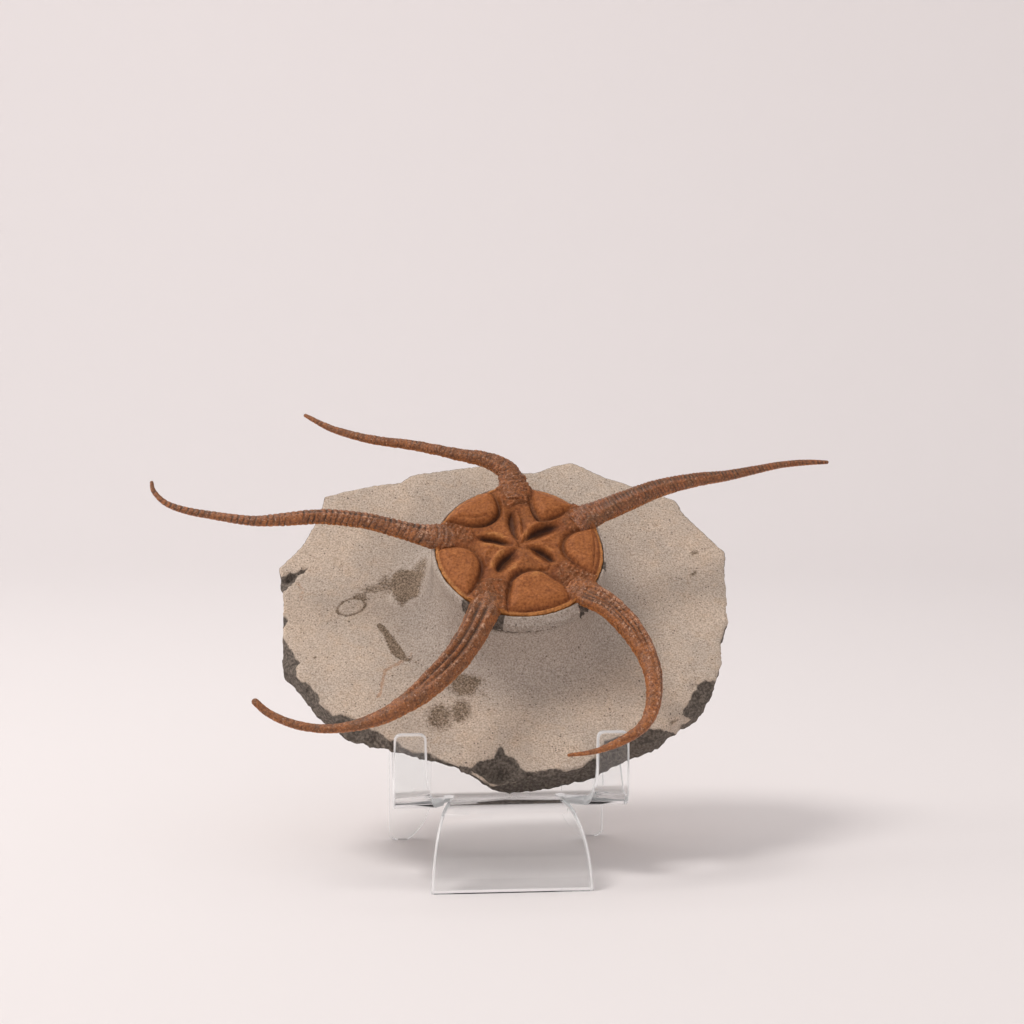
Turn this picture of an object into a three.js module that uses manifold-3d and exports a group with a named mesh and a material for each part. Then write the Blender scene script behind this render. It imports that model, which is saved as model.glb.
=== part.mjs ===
// A fossil brittle star, cut free of its stone so that its arms stand clear of it, on a carved round
// pedestal. The stone leans on a clear easel bent from one sheet.
// Millimetres, +Z up, +X to the right of someone facing the star, -Y towards them. The origin is on the
// surface that the easel stands on, under the middle of the whole piece.

import * as THREE from "three";
import { mergeVertices } from "three/addons/utils/BufferGeometryUtils.js";
import Module from "manifold-3d";

const clearance = 0.3; // left between pieces that touch
const overcut = 1; // how far a cutter runs past what it cuts

// The easel, one bent sheet.
const sheet = 2.5; // thickness
const easelWidth = 63.5;
const lean = THREE.MathUtils.degToRad(45.7); // slope of the back rest, from level
const shelfTop = 21; // height of the shelf that carries the stone
const restLength = 59; // from the shelf up the slope to where the top bend's two sides would meet
const rearFoot = 43; // how far the rear legs stand behind the stone's lower edge
const topBend = 4; // bend radii, at the middle of the sheet
const shelfBend = 4;
const hookBend = 5;
const hookFront = 8; // how far the hooks stand in front of the stone's lower edge
const hookHeight = 18.6; // above the shelf
const hookWidth = 8.8;
const hookCorner = 2.2;
const hookFlare = { width: 3, height: 11.3, pull: 0.6 }; // widens each hook towards its foot
const notchBack = 0.8; // where the cuts between tongue and hooks end, behind the stone's lower edge
const notchEnd = 3; // width of their round ends
const tongueTop = 29.4; // width at those ends
const tongueFoot = 42.4; // width on the floor
const tongueStart = 3.5; // where it starts to curve down
const legWidth = 12.4;
const legCut = { width: 7, height: 11, bulge: 3.5, pull: 1.5 }; // takes the inner corner off each rear foot
const footCorner = 3; // rounds its outer corner
const archHeight = 33; // opening between the rear legs
const archCorner = 12;
const bendFacet = 0.2; // radians of a bend in one facet
const curveFacets = 6; // facets in a cut corner
const tongueFacets = 10;

// The stone. Its own frame lies on its flat back: x across, y up the slope, z out of the stone.
const stoneAside = 0.5; // how far right of the easel's middle it sits
const stoneDrop = 1; // how far its lower point comes down into the bend behind the shelf
const stoneFace = 9; // thickness at the outer edge
const edgeBevel = 3;
const starCentre = { x: 4.5, y: 63.8 };
const pedestalRadius = 24.2;
const pedestalTop = 26.7; // above the stone's back
const pedestalEdge = { drop: 1, inset: 0.8 }; // the bevel round its top
const pedestalFlare = [[32, 8.6], [28.5, 10.4], [26.3, 13.8], [25, 18.5], [24.4, 23]]; // radius, height
const hollowRadius = 36; // where the pedestal's flared foot runs out
const hollowFloor = 8.2;
const faceRings = [[52, stoneFace], [42, 8.5]]; // radius, height of the carved face outside the hollow
const outlineRadius = 60; // stands for the outline in the stone's profile, whatever its distance
const stoneSegments = 96;

// Outline of the stone, clockwise from its upper left corner.
const stoneOutline = [
  [-51, 103], [-43, 106], [-36, 108], [-28, 109], [-24, 112], [-14, 114], [-2, 116], [3, 113.5],
  [14, 113], [20, 116], [26, 117.5], [36, 111], [50, 104.5], [57, 101], [58.5, 96], [65, 86],
  [69.5, 80], [68, 70], [66.5, 56.5], [68, 53], [63.5, 46], [62.5, 37.5], [59.5, 30.5], [55, 23.5],
  [46.5, 18], [42.5, 14], [28, 8], [23, 4], [8, 0.8], [-0.5, 0], [-5, 1.8], [-14, 8.8],
  [-32, 15.5], [-46, 20.8], [-53, 26], [-57, 32.5], [-63, 41], [-63, 66], [-64.5, 74.5], [-58, 83],
  [-53, 94],
];

// The star, in the stone's frame with its origin on the pedestal's axis.
const discRadius = 24.2;
const discSegments = 60;
const discMargin = 2; // width of the rim, which the lobes' swell doesn't reach
const armMiddle = 2.5; // height of an arm's middle above the pedestal, at its root

// Each arm's middle line, as across, up the slope, rise above its root, and width there.
const arms = {
  arm_back_left: [
    [-0.2, 24.8, 0, 8.6], [-0.4, 26.8, 0, 7.6], [-2.6, 31, 0.5, 6], [-8, 33.8, 1, 4.8],
    [-16.5, 35.8, 1.5, 3.7], [-28.8, 39.5, 1.5, 3.1], [-41, 41.2, 2, 2.7], [-52.6, 45, 2.5, 2.1],
    [-61.5, 50.3, 3.5, 1],
  ],
  arm_left: [
    [-24.3, 4.6, 0, 6.6], [-35, 7.6, 0.5, 5], [-43.6, 10.2, 1, 4.7], [-55.3, 11.8, 1, 4.4],
    [-65.7, 11.3, 0.5, 4], [-75.1, 11.1, 0, 3], [-87.3, 13.8, -0.5, 2.4], [-94.7, 15.7, -0.5, 2.1],
    [-100.2, 18, 0, 1.7], [-103.8, 21.5, 1, 1.4], [-104.7, 25.1, 2, 1],
  ],
  arm_right: [
    [21.5, 12.9, 0, 7.2], [26.2, 15, 0.5, 6.8], [33.8, 17.9, 1.5, 6.2], [42.7, 21.6, 2, 5.3],
    [53.9, 24.8, 2, 4.2], [63.1, 26.8, 1.5, 3.3], [71.6, 29, 1.5, 2.6], [80.3, 31.2, 1.5, 2.1],
    [88.1, 31.7, 2, 1.8], [94.9, 31.3, 2.5, 1],
  ],
  arm_front_left: [
    [-11.2, -21.9, 0, 8.4], [-15, -30.5, 0, 8], [-20, -38.6, -0.5, 7.5], [-27.3, -46.6, -1.5, 6.6],
    [-34.1, -52, -2.5, 5.1], [-41, -55.6, -3.5, 4], [-49.1, -57.5, -4.5, 2.8], [-56.5, -57.5, -5, 2.4],
    [-63.6, -55.8, -5, 2.3], [-69.9, -52.6, -4.5, 2.1], [-74.1, -48.8, -3.5, 1.7],
  ],
  arm_front_right: [
    [18.3, -16.5, 0, 7.4], [24.1, -21.8, 0, 7], [29.2, -29.3, -0.5, 6.6], [32.7, -38.7, -1, 5.4],
    [33.4, -47.1, -1.5, 4.6], [32.1, -54.4, -2.5, 3.9], [28.9, -60, -3, 3], [22.9, -64, -3.5, 2.4],
    [15.7, -66.8, -4, 1.5], [8, -67.9, -4, 0.9],
  ],
};
const armSides = 10;
const armStep = 4; // length of one facet along an arm
const armFlatness = 0.82; // thickness as a share of width

// The disc's section from the middle of its underside round the rim to the middle of its top, as
// distance in from the edge and height.
const discSection = [
  [24.2, 0], [1.2, 0], [0.2, 0.8], [0, 1.8], [0.5, 2.8], [1.5, 2.9], [2.8, 2.4], [5.2, 2.7], [7.7, 3],
  [10.2, 3.1], [13.2, 3.1], [16.2, 3], [19.2, 2.8], [21.7, 2.6], [24.2, 2.5],
];

// Directions of the middles of the five lobes between the arms, anticlockwise from +x, and their swell.
const lobeDirections = [57, 130, 207, 286, 351];
const lobe = { radius: 16, spread: 4.6, swell: 0.9 };
const mouth = { radius: 9, depth: 1, slits: 5, firstSlit: 30 }; // hollows that meet in the middle

const wasm = await Module();
wasm.setup();

// Materials.
const calcite = new THREE.MeshStandardMaterial({ color: 0x9a5a35, roughness: 0.7, metalness: 0 });
const discCalcite = new THREE.MeshStandardMaterial({ color: 0xb0683a, roughness: 0.65, metalness: 0 });
const limestone = new THREE.MeshStandardMaterial({ color: 0xa9a294, roughness: 0.9, metalness: 0 });
const acrylic = new THREE.MeshStandardMaterial({
  color: 0xf4f6f7,
  roughness: 0.05,
  metalness: 0,
  transparent: true,
  opacity: 0.3,
});

// A closed mesh with its shared corners merged, as manifold-3d wants it.
function solidFrom(geometry) {
  const bare = geometry.clone();
  bare.deleteAttribute("normal");
  bare.deleteAttribute("uv");
  const merged = mergeVertices(bare, 1e-4);
  return new wasm.Manifold(
    new wasm.Mesh({
      numProp: 3,
      vertProperties: new Float32Array(merged.attributes.position.array),
      triVerts: new Uint32Array(merged.index.array),
    }),
  );
}

function geometryFrom(solid) {
  const { vertProperties, triVerts } = solid.getMesh();
  const geometry = new THREE.BufferGeometry();
  geometry.setAttribute("position", new THREE.BufferAttribute(new Float32Array(vertProperties), 3));
  geometry.setIndex(new THREE.BufferAttribute(new Uint32Array(triVerts), 1));
  geometry.computeVertexNormals();
  return geometry;
}

// Calls move(corner, index) on each corner of a geometry and keeps what it did to it.
function reshape(geometry, move) {
  const places = geometry.attributes.position;
  const corner = new THREE.Vector3();
  for (let i = 0; i < places.count; i += 1) {
    corner.fromBufferAttribute(places, i);
    move(corner, i);
    places.setXYZ(i, corner.x, corner.y, corner.z);
  }
  geometry.computeVertexNormals();
  return geometry;
}

// A profile of [radius, height] pairs turned about the z axis.
function turned(profile, segments) {
  const points = profile.map(([radius, height]) => new THREE.Vector2(radius, height));
  return new THREE.LatheGeometry(points, segments).rotateX(Math.PI / 2);
}

// ---- The easel ----

// A path through corners, with each inner corner rounded by its radius (corner = [y, z, radius]).
function bentPath(corners) {
  const path = [];
  corners.forEach(([y, z, radius = 0], i) => {
    const here = new THREE.Vector2(y, z);
    if (radius === 0) {
      path.push(here);
      return;
    }
    const before = new THREE.Vector2(...corners[i - 1]).sub(here).normalize();
    const after = new THREE.Vector2(...corners[i + 1]).sub(here).normalize();
    const halfAngle = Math.acos(before.dot(after)) / 2;
    const inward = before.clone().add(after).normalize();
    const centre = inward.multiplyScalar(radius / Math.sin(halfAngle)).add(here);
    const reach = radius / Math.tan(halfAngle);
    const start = here.clone().addScaledVector(before, reach).sub(centre);
    const end = here.clone().addScaledVector(after, reach).sub(centre);
    const sweep = Math.atan2(start.cross(end), start.dot(end));
    const steps = Math.ceil(Math.abs(sweep) / bendFacet);
    for (let k = 0; k <= steps; k += 1) {
      path.push(start.clone().rotateAround(new THREE.Vector2(), (sweep * k) / steps).add(centre));
    }
  });
  return path;
}

// Flush faces have to meet exactly before solids are joined, so their corners go on a 0.001 mm grid.
function onGrid(point) {
  return point.multiplyScalar(1000).round().divideScalar(1000);
}

// The sheet seen from its side, along a path in the y-z plane, pushed out to a width across x.
function bentSheet(path, width) {
  const left = [];
  const right = [];
  path.forEach((point, i) => {
    const before = path[Math.max(i - 1, 0)];
    const after = path[Math.min(i + 1, path.length - 1)];
    const along = after.clone().sub(before).normalize();
    const side = new THREE.Vector2(-along.y, along.x).multiplyScalar(sheet / 2);
    left.push(onGrid(point.clone().add(side)));
    right.push(onGrid(point.clone().sub(side)));
  });
  const profile = new THREE.Shape([...left, ...right.reverse()]);
  const geometry = new THREE.ExtrudeGeometry(profile, { depth: width, bevelEnabled: false });
  return geometry.rotateX(Math.PI / 2).rotateZ(Math.PI / 2).translate(-width / 2, 0, 0);
}

// A shape drawn as seen from the front, in x and z, made solid from one y to another.
function frontCutter(shape, fromY, toY) {
  const geometry = new THREE.ExtrudeGeometry(shape, {
    depth: toY - fromY,
    bevelEnabled: false,
    curveSegments: curveFacets,
  });
  return solidFrom(geometry.rotateX(Math.PI / 2).translate(0, toY, 0));
}

// The opening between the hooks, which narrows towards their feet.
function hooksOpening() {
  const inner = easelWidth / 2 - hookWidth;
  const floor = shelfTop - sheet / 2;
  const top = shelfTop + hookHeight + overcut;
  const shape = new THREE.Shape();
  shape.moveTo(-inner - hookCorner, top);
  shape.lineTo(-inner - hookCorner, shelfTop + hookHeight);
  shape.quadraticCurveTo(-inner, shelfTop + hookHeight, -inner, shelfTop + hookHeight - hookCorner);
  shape.lineTo(-inner, floor + hookFlare.height);
  shape.quadraticCurveTo(-inner + hookFlare.pull, floor, -inner + hookFlare.width, floor);
  shape.lineTo(-inner + hookFlare.width, floor - sheet);
  shape.lineTo(inner - hookFlare.width, floor - sheet);
  shape.lineTo(inner - hookFlare.width, floor);
  shape.quadraticCurveTo(inner - hookFlare.pull, floor, inner, floor + hookFlare.height);
  shape.lineTo(inner, shelfTop + hookHeight - hookCorner);
  shape.quadraticCurveTo(inner, shelfTop + hookHeight, inner + hookCorner, shelfTop + hookHeight);
  shape.lineTo(inner + hookCorner, top);
  return frontCutter(shape, -hookFront - sheet, -hookFront + hookBend);
}

// What rounds one hook's outer corner off.
function hookCornerCutter(sign) {
  const outer = easelWidth / 2;
  const top = shelfTop + hookHeight;
  const shape = new THREE.Shape();
  shape.moveTo(sign * (outer - hookCorner), top);
  shape.quadraticCurveTo(sign * outer, top, sign * outer, top - hookCorner);
  shape.lineTo(sign * (outer + overcut), top - hookCorner);
  shape.lineTo(sign * (outer + overcut), top + overcut);
  shape.lineTo(sign * (outer - hookCorner), top + overcut);
  return frontCutter(shape, -hookFront - sheet, -hookFront + sheet);
}

// The tongue widens evenly from the cuts' ends to the floor. Half its width, some way along its curve.
function tongueHalfWidth(alongCurve, curve) {
  const share = (notchBack + tongueStart + alongCurve) / (notchBack + tongueStart + curve);
  return THREE.MathUtils.lerp(tongueTop, tongueFoot, share) / 2;
}

// What parts the tongue from one hook, on the shelf, as seen from above.
function notchCutter(sign) {
  const front = -hookFront + hookBend;
  const hook = easelWidth / 2 - hookWidth - hookFlare.width;
  const root = tongueHalfWidth(-tongueStart - front, (Math.PI / 2) * (shelfTop - sheet / 2));
  const start = tongueTop / 2;
  const round = notchBack - notchEnd / 2;
  const shape = new THREE.Shape();
  shape.moveTo(sign * root, front - overcut);
  shape.lineTo(sign * root, front);
  shape.lineTo(sign * start, round);
  shape.quadraticCurveTo(sign * start, notchBack, sign * (start + notchEnd / 2), notchBack);
  shape.quadraticCurveTo(sign * (start + notchEnd), notchBack, sign * (start + notchEnd), round);
  shape.lineTo(sign * hook, front);
  shape.lineTo(sign * hook, front - overcut);
  const geometry = new THREE.ExtrudeGeometry(shape, {
    depth: 4 * sheet,
    bevelEnabled: false,
    curveSegments: curveFacets,
  });
  return solidFrom(geometry.translate(0, 0, shelfTop - 2 * sheet));
}

// The tongue's sides as seen from the front, where its widening shows as a curve.
function tongueOutline(drop) {
  const curve = (Math.PI / 2) * drop;
  const edge = [[tongueHalfWidth(0, curve), shelfTop + sheet]];
  for (let k = 0; k <= tongueFacets; k += 1) {
    const share = k / tongueFacets;
    edge.push([tongueHalfWidth(share * curve, curve), drop * Math.cos((share * Math.PI) / 2)]);
  }
  const left = edge.map(([x, z]) => new THREE.Vector2(-x, z));
  const right = edge.reverse().map(([x, z]) => new THREE.Vector2(x, z));
  return new THREE.Shape([...left, ...right]);
}

// The arched opening between the rear legs, what rounds their feet off, and what levels them.
function rearOpening() {
  const outer = easelWidth / 2;
  const inner = outer - legWidth;
  const foot = inner + legCut.width;
  const below = -2 * sheet;
  const shape = new THREE.Shape();
  shape.moveTo(-outer - overcut, below);
  shape.lineTo(-outer - overcut, footCorner);
  shape.lineTo(-outer, footCorner);
  shape.quadraticCurveTo(-outer, 0, -outer + footCorner, 0);
  shape.lineTo(-foot, 0);
  shape.quadraticCurveTo(-inner - legCut.pull, legCut.bulge, -inner, legCut.height);
  shape.lineTo(-inner, archHeight - archCorner);
  shape.quadraticCurveTo(-inner, archHeight, -inner + archCorner, archHeight);
  shape.lineTo(inner - archCorner, archHeight);
  shape.quadraticCurveTo(inner, archHeight, inner, archHeight - archCorner);
  shape.lineTo(inner, legCut.height);
  shape.quadraticCurveTo(inner + legCut.pull, legCut.bulge, foot, 0);
  shape.lineTo(outer - footCorner, 0);
  shape.quadraticCurveTo(outer, 0, outer, footCorner);
  shape.lineTo(outer + overcut, footCorner);
  shape.lineTo(outer + overcut, below);
  return frontCutter(shape, rearFoot - topBend - sheet, rearFoot + topBend);
}

function easelGeometry() {
  const shelfMiddle = shelfTop - sheet / 2;
  // The back rest's middle line runs under the stone's back, which starts at y = 0 just over the shelf.
  const drop = clearance + sheet / 2;
  const rest = (up) => [
    up * Math.cos(lean) + drop * Math.sin(lean),
    shelfTop + clearance + up * Math.sin(lean) - drop * Math.cos(lean),
  ];
  const shelfBack = (drop * Math.cos(lean) - drop) / Math.sin(lean);
  const body = bentPath([
    [rearFoot, -sheet],
    [...rest(restLength), topBend],
    [...rest(shelfBack), shelfBend],
    [-hookFront, shelfMiddle, hookBend],
    [-hookFront, shelfTop + hookHeight],
  ]);
  // The tongue is a quarter circle that reaches the floor upright.
  const tongueFront = -tongueStart - shelfMiddle;
  const tongue = bentPath([
    [-hookFront + hookBend + overcut, shelfMiddle],
    [tongueFront, shelfMiddle, shelfMiddle],
    [tongueFront, -sheet],
  ]);
  const tongueCutter = frontCutter(tongueOutline(shelfMiddle), tongueFront - sheet, 0);
  const solid = solidFrom(bentSheet(body, easelWidth))
    .subtract(rearOpening())
    .subtract(hooksOpening())
    .subtract(hookCornerCutter(-1))
    .subtract(hookCornerCutter(1))
    .subtract(notchCutter(-1))
    .subtract(notchCutter(1))
    .add(solidFrom(bentSheet(tongue, easelWidth)).intersect(tongueCutter));
  return geometryFrom(solid);
}

// ---- The stone ----

// Distance from the star's axis to the stone's outline, in a direction.
function outlineReach(angle) {
  const ray = new THREE.Vector2(Math.cos(angle), Math.sin(angle));
  const corners = stoneOutline.map(([x, y]) => new THREE.Vector2(x - starCentre.x, y - starCentre.y));
  let reach = 0;
  corners.forEach((from, i) => {
    const side = corners[(i + 1) % corners.length].clone().sub(from);
    const turn = ray.cross(side);
    const along = from.cross(side) / turn;
    const share = from.cross(ray) / turn;
    if (along > 0 && share >= 0 && share <= 1) reach = Math.max(reach, along);
  });
  return reach;
}

function stoneGeometry() {
  // Rings from the middle of the back, round the edge and up the pedestal to the middle of its top.
  const profile = [
    [0, 0], [outlineRadius - edgeBevel / 2, 0], [outlineRadius, edgeBevel],
    [outlineRadius - edgeBevel / 6, stoneFace - edgeBevel], [outlineRadius - edgeBevel, stoneFace],
    ...faceRings, [hollowRadius, hollowFloor], ...pedestalFlare,
    [pedestalRadius, pedestalTop - pedestalEdge.drop], [pedestalRadius - pedestalEdge.inset, pedestalTop],
    [pedestalRadius / 2, pedestalTop], [0, pedestalTop],
  ];
  const geometry = turned(profile, stoneSegments);
  return reshape(geometry, (corner) => {
    const radius = Math.hypot(corner.x, corner.y);
    const angle = Math.atan2(corner.y, corner.x);
    let stretched = radius;
    if (radius > hollowRadius) {
      const share = (radius - hollowRadius) / (outlineRadius - hollowRadius);
      stretched = THREE.MathUtils.lerp(hollowRadius, outlineReach(angle), share);
    }
    corner.x = starCentre.x + stretched * Math.cos(angle);
    corner.y = starCentre.y + stretched * Math.sin(angle);
  });
}

// ---- The star ----

// How far the disc's upper side stands above its plain turned shape.
function discSwell(x, y) {
  let swell = 0;
  for (const direction of lobeDirections) {
    const angle = THREE.MathUtils.degToRad(direction);
    const away = Math.hypot(x - lobe.radius * Math.cos(angle), y - lobe.radius * Math.sin(angle));
    swell += lobe.swell * Math.exp(-((away / lobe.spread) ** 2));
  }
  const slits = 1 + Math.cos(mouth.slits * (Math.atan2(y, x) - THREE.MathUtils.degToRad(mouth.firstSlit)));
  const inMouth = Math.max(0, 1 - Math.hypot(x, y) / mouth.radius);
  return swell - (mouth.depth * slits * inMouth) / 2;
}

function discGeometry() {
  const profile = discSection.map(([inward, height]) => [discRadius - inward, height]);
  const topSide = 2; // everything higher than this belongs to the disc's upper side
  return reshape(turned(profile, discSegments), (corner) => {
    const swells = corner.z > topSide && Math.hypot(corner.x, corner.y) < discRadius - discMargin;
    if (swells) corner.z += discSwell(corner.x, corner.y);
  });
}

// An arm: a cylinder laid along its middle line, with an oval section that narrows to the tip.
function armGeometry(line) {
  const places = line.map(([x, y, rise]) => new THREE.Vector3(x, y, rise + armMiddle));
  const curve = new THREE.CatmullRomCurve3(places);
  const widths = new THREE.CatmullRomCurve3(line.map(([, , , width], i) => new THREE.Vector3(width, i, 0)));
  const steps = Math.round(curve.getLength() / armStep);
  const up = new THREE.Vector3(0, 0, 1);
  return reshape(new THREE.CylinderGeometry(1, 1, 1, armSides, steps), (corner) => {
    const t = curve.getUtoTmapping(THREE.MathUtils.clamp(corner.y + 0.5, 0, 1));
    const middle = curve.getPoint(t);
    const half = widths.getPoint(t).x / 2;
    const along = curve.getTangent(t);
    const side = along.clone().cross(up).normalize();
    const rise = side.clone().cross(along);
    const { x, z } = corner;
    corner.copy(middle).addScaledVector(side, x * half).addScaledVector(rise, z * half * armFlatness);
  });
}

// ---- Assembly ----

function named(name, geometry, material) {
  const mesh = new THREE.Mesh(geometry, material);
  mesh.name = name;
  return mesh;
}

const star = new THREE.Group();
star.position.set(starCentre.x, starCentre.y, pedestalTop + clearance);
star.add(named("central_disc", discGeometry(), discCalcite));
for (const [name, line] of Object.entries(arms)) {
  star.add(named(name, armGeometry(line), calcite));
}

const fossil = new THREE.Group();
fossil.rotation.x = lean;
fossil.position.set(stoneAside, 0, shelfTop + clearance);
fossil.translateY(-stoneDrop);
fossil.add(named("matrix_slab", stoneGeometry(), limestone), star);

const brittleStar = new THREE.Group();
brittleStar.add(named("acrylic_easel", easelGeometry(), acrylic), fossil);

// Put the origin on the floor under the middle of everything.
const extent = new THREE.Box3().setFromObject(brittleStar, true);
const middle = extent.getCenter(new THREE.Vector3());
for (const piece of brittleStar.children) {
  piece.position.x -= middle.x;
  piece.position.y -= middle.y;
  piece.position.z -= extent.min.z;
}

export default brittleStar;
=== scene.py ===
from math import cos, pi, radians, sin, tan

import bmesh
import bpy
import numpy as np
from mathutils import Euler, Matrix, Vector, noise


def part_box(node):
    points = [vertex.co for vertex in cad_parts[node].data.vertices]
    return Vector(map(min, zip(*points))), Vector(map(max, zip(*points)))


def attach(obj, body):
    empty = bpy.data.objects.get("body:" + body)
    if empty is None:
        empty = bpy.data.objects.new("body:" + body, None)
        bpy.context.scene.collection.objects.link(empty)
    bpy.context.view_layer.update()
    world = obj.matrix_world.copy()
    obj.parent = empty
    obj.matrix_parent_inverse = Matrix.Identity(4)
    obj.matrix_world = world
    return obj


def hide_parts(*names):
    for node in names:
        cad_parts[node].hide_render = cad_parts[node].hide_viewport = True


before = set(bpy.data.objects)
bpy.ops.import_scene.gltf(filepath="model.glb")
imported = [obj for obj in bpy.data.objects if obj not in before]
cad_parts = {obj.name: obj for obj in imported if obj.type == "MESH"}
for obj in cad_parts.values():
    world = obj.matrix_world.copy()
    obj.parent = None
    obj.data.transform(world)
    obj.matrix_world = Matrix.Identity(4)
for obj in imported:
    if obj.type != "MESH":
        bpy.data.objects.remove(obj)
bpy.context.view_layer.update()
mm = 0.001



def addObject(name, data):
    thing = bpy.data.objects.new(name, data)
    bpy.context.scene.collection.objects.link(thing)
    return thing


view = {"place": (-46.2, -534.9, 120.6), "turn": -5.3, "dip": 2.5, "lens": 66, "sensor": 36}

camera = addObject("camera", bpy.data.cameras.new("camera"))
camera.location = Vector(view["place"]) * mm
camera.rotation_euler = Euler((radians(90 - view["dip"]), 0, radians(view["turn"])))
camera.data.lens = view["lens"]
camera.data.sensor_width = view["sensor"]
bpy.context.scene.camera = camera
bpy.context.scene.view_settings.view_transform = "Standard"
print("camera set")

# The stone's own frame lies on its flat back: x across, y up the slope, z out of the stone.
pose = {
    "lean": 45.7,  # slope of the stone's back, from level
    "starCentre": (4.5, 63.8),
    "starHeight": 27.0,  # the star's underside above the stone's back
    "discMiddle": 1.65,  # the middle of the disc's box above its underside
}
lean = radians(pose["lean"])
stoneAxes = np.array([[1.0, 0.0, 0.0], [0.0, cos(lean), sin(lean)], [0.0, -sin(lean), cos(lean)]])

discLow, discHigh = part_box("central_disc")
starOrigin = np.array((discLow + discHigh) / 2) / mm - stoneAxes[2] * pose["discMiddle"]
stoneOrigin = starOrigin - np.array([*pose["starCentre"], pose["starHeight"]]) @ stoneAxes


def smoothPath(points, closed=False, step=0.5):
    # a curve through the points, each span cut into pieces about one step long
    points = np.array(points, float)
    count = len(points)
    line = []
    for i in range(count if closed else count - 1):
        if closed:
            a, b, c, d = (points[(i + k) % count] for k in (-1, 0, 1, 2))
        else:
            b, c = points[i], points[i + 1]
            a = points[i - 1] if i else 2 * b - c
            d = points[i + 2] if i + 2 < count else 2 * c - b
        pieces = max(2, int(np.linalg.norm((c - b)[:2]) / step))
        for k in range(pieces):
            t = k / pieces
            bend = 2 * a - 5 * b + 4 * c - d
            twist = 3 * b - a - 3 * c + d
            line.append(0.5 * (2 * b + (c - a) * t + bend * t**2 + twist * t**3))
    if not closed:
        line.append(points[-1])
    return np.array(line)


def fromPath(points, path):
    # distance from each point to a path, how far along it the nearest place is, 0 to 1, and which side
    # of it the point lies on, 1 for the left and -1 for the right
    nearest = np.full(len(points), 1e9)
    along = np.zeros(len(points))
    side = np.ones(len(points))
    start = lengthAlong(path)
    lengths = np.hypot(*np.diff(path, axis=0).T)
    for i, (a, b) in enumerate(zip(path[:-1], path[1:])):
        step = b - a
        off = points - a
        share = np.clip(off @ step / max(step @ step, 1e-9), 0, 1)
        away = np.hypot(*(off - share[:, None] * step).T)
        closer = away < nearest
        nearest[closer] = away[closer]
        along[closer] = (start[i] + share * lengths[i])[closer]
        side[closer] = np.sign(step[0] * off[:, 1] - step[1] * off[:, 0])[closer]
    return nearest, along / start[-1], side


def fromOutline(points, outline):
    # distance from each point to a closed outline, negative inside it
    nearest = fromPath(points, np.vstack([outline, outline[:1]]))[0]
    inside = np.zeros(len(points), bool)
    for a, b in zip(outline, np.roll(outline, -1, 0)):
        if a[1] == b[1]:
            continue
        spans = (a[1] > points[:, 1]) != (b[1] > points[:, 1])
        cut = a[0] + (points[:, 1] - a[1]) * (b[0] - a[0]) / (b[1] - a[1])
        inside ^= spans & (points[:, 0] < cut)
    return np.where(inside, -nearest, nearest)


def grain(points, size, octaves=3, seed=0):
    # natural roughness about -1 to 1, with lumps of the given size
    if points.shape[1] == 2:
        points = np.column_stack([points, np.zeros(len(points))])
    shift = np.array([17.3, 5.1, 9.7]) * seed
    scaled = (points / size + shift).tolist()
    return np.array([noise.fractal(Vector(p), 1.0, 2.0, octaves) for p in scaled])


def lengthAlong(path):
    # how far along a flat path each of its points lies
    return np.concatenate([[0], np.cumsum(np.hypot(*np.diff(path, axis=0).T))])


def spokes(count):
    # evenly spaced angles round a circle, and the directions that they point in
    turn = np.arange(count) * 2 * pi / count
    return turn, np.column_stack([np.cos(turn), np.sin(turn)])


def chance(number, seed, step=12.9898, spread=437.58):
    # a share from 0 to 1 for each whole number, the same each time
    return np.sin(number * step + seed) * spread % 1


def bump(distance, width):
    return np.exp(-((distance / width) ** 2))


def fade(value, start, end):
    share = np.clip((value - start) / (end - start), 0, 1)
    return share * share * (3 - 2 * share)


def skin(name, rings, first, last, origin, fields):
    # one closed mesh over rings of points, from a first point to a last, with values for its material
    count, around = rings.shape[:2]
    points = np.vstack([rings.reshape(-1, 3), first, last])
    index = np.arange(count * around).reshape(count, around)
    following = np.roll(index, -1, axis=1)
    quads = np.stack([index[:-1], index[1:], following[1:], following[:-1]], axis=-1).reshape(-1, 4)
    poles = count * around
    starts = [(poles, a, b) for a, b in zip(index[0].tolist(), following[0].tolist())]
    ends = [(poles + 1, b, a) for a, b in zip(index[-1].tolist(), following[-1].tolist())]
    mesh = bpy.data.meshes.new(name)
    mesh.from_pydata(((origin + points @ stoneAxes) * mm).tolist(), [], quads.tolist() + starts + ends)
    mesh.shade_smooth()
    for field, values in fields.items():
        values = values.reshape(count, around)
        flat = np.concatenate([values.ravel(), [values[0].mean(), values[-1].mean()]])
        mesh.attributes.new(field, "FLOAT", "POINT").data.foreach_set("value", flat.astype(np.float32))
    return addObject(name, mesh)


def toLinear(colour):
    # an sRGB hex colour as the linear values that shaders take
    channels = [int(colour[i : i + 2], 16) / 255 for i in (1, 3, 5)]
    return [c / 12.92 if c <= 0.04045 else ((c + 0.055) / 1.055) ** 2.4 for c in channels] + [1.0]


def addNode(material, kind, settings=None, links=None, output=0):
    # adds a node; links gives each input a value, a hex colour or the output that feeds it
    tree = material.node_tree
    node = tree.nodes.new("ShaderNode" + kind)
    for key, value in (settings or {}).items():
        setattr(node, key, value)
    for key, value in (links or {}).items():
        if isinstance(value, bpy.types.NodeSocket):
            tree.links.new(value, node.inputs[key])
        else:
            node.inputs[key].default_value = toLinear(value) if isinstance(value, str) else value
    return node.outputs[output] if node.outputs else node


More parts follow.
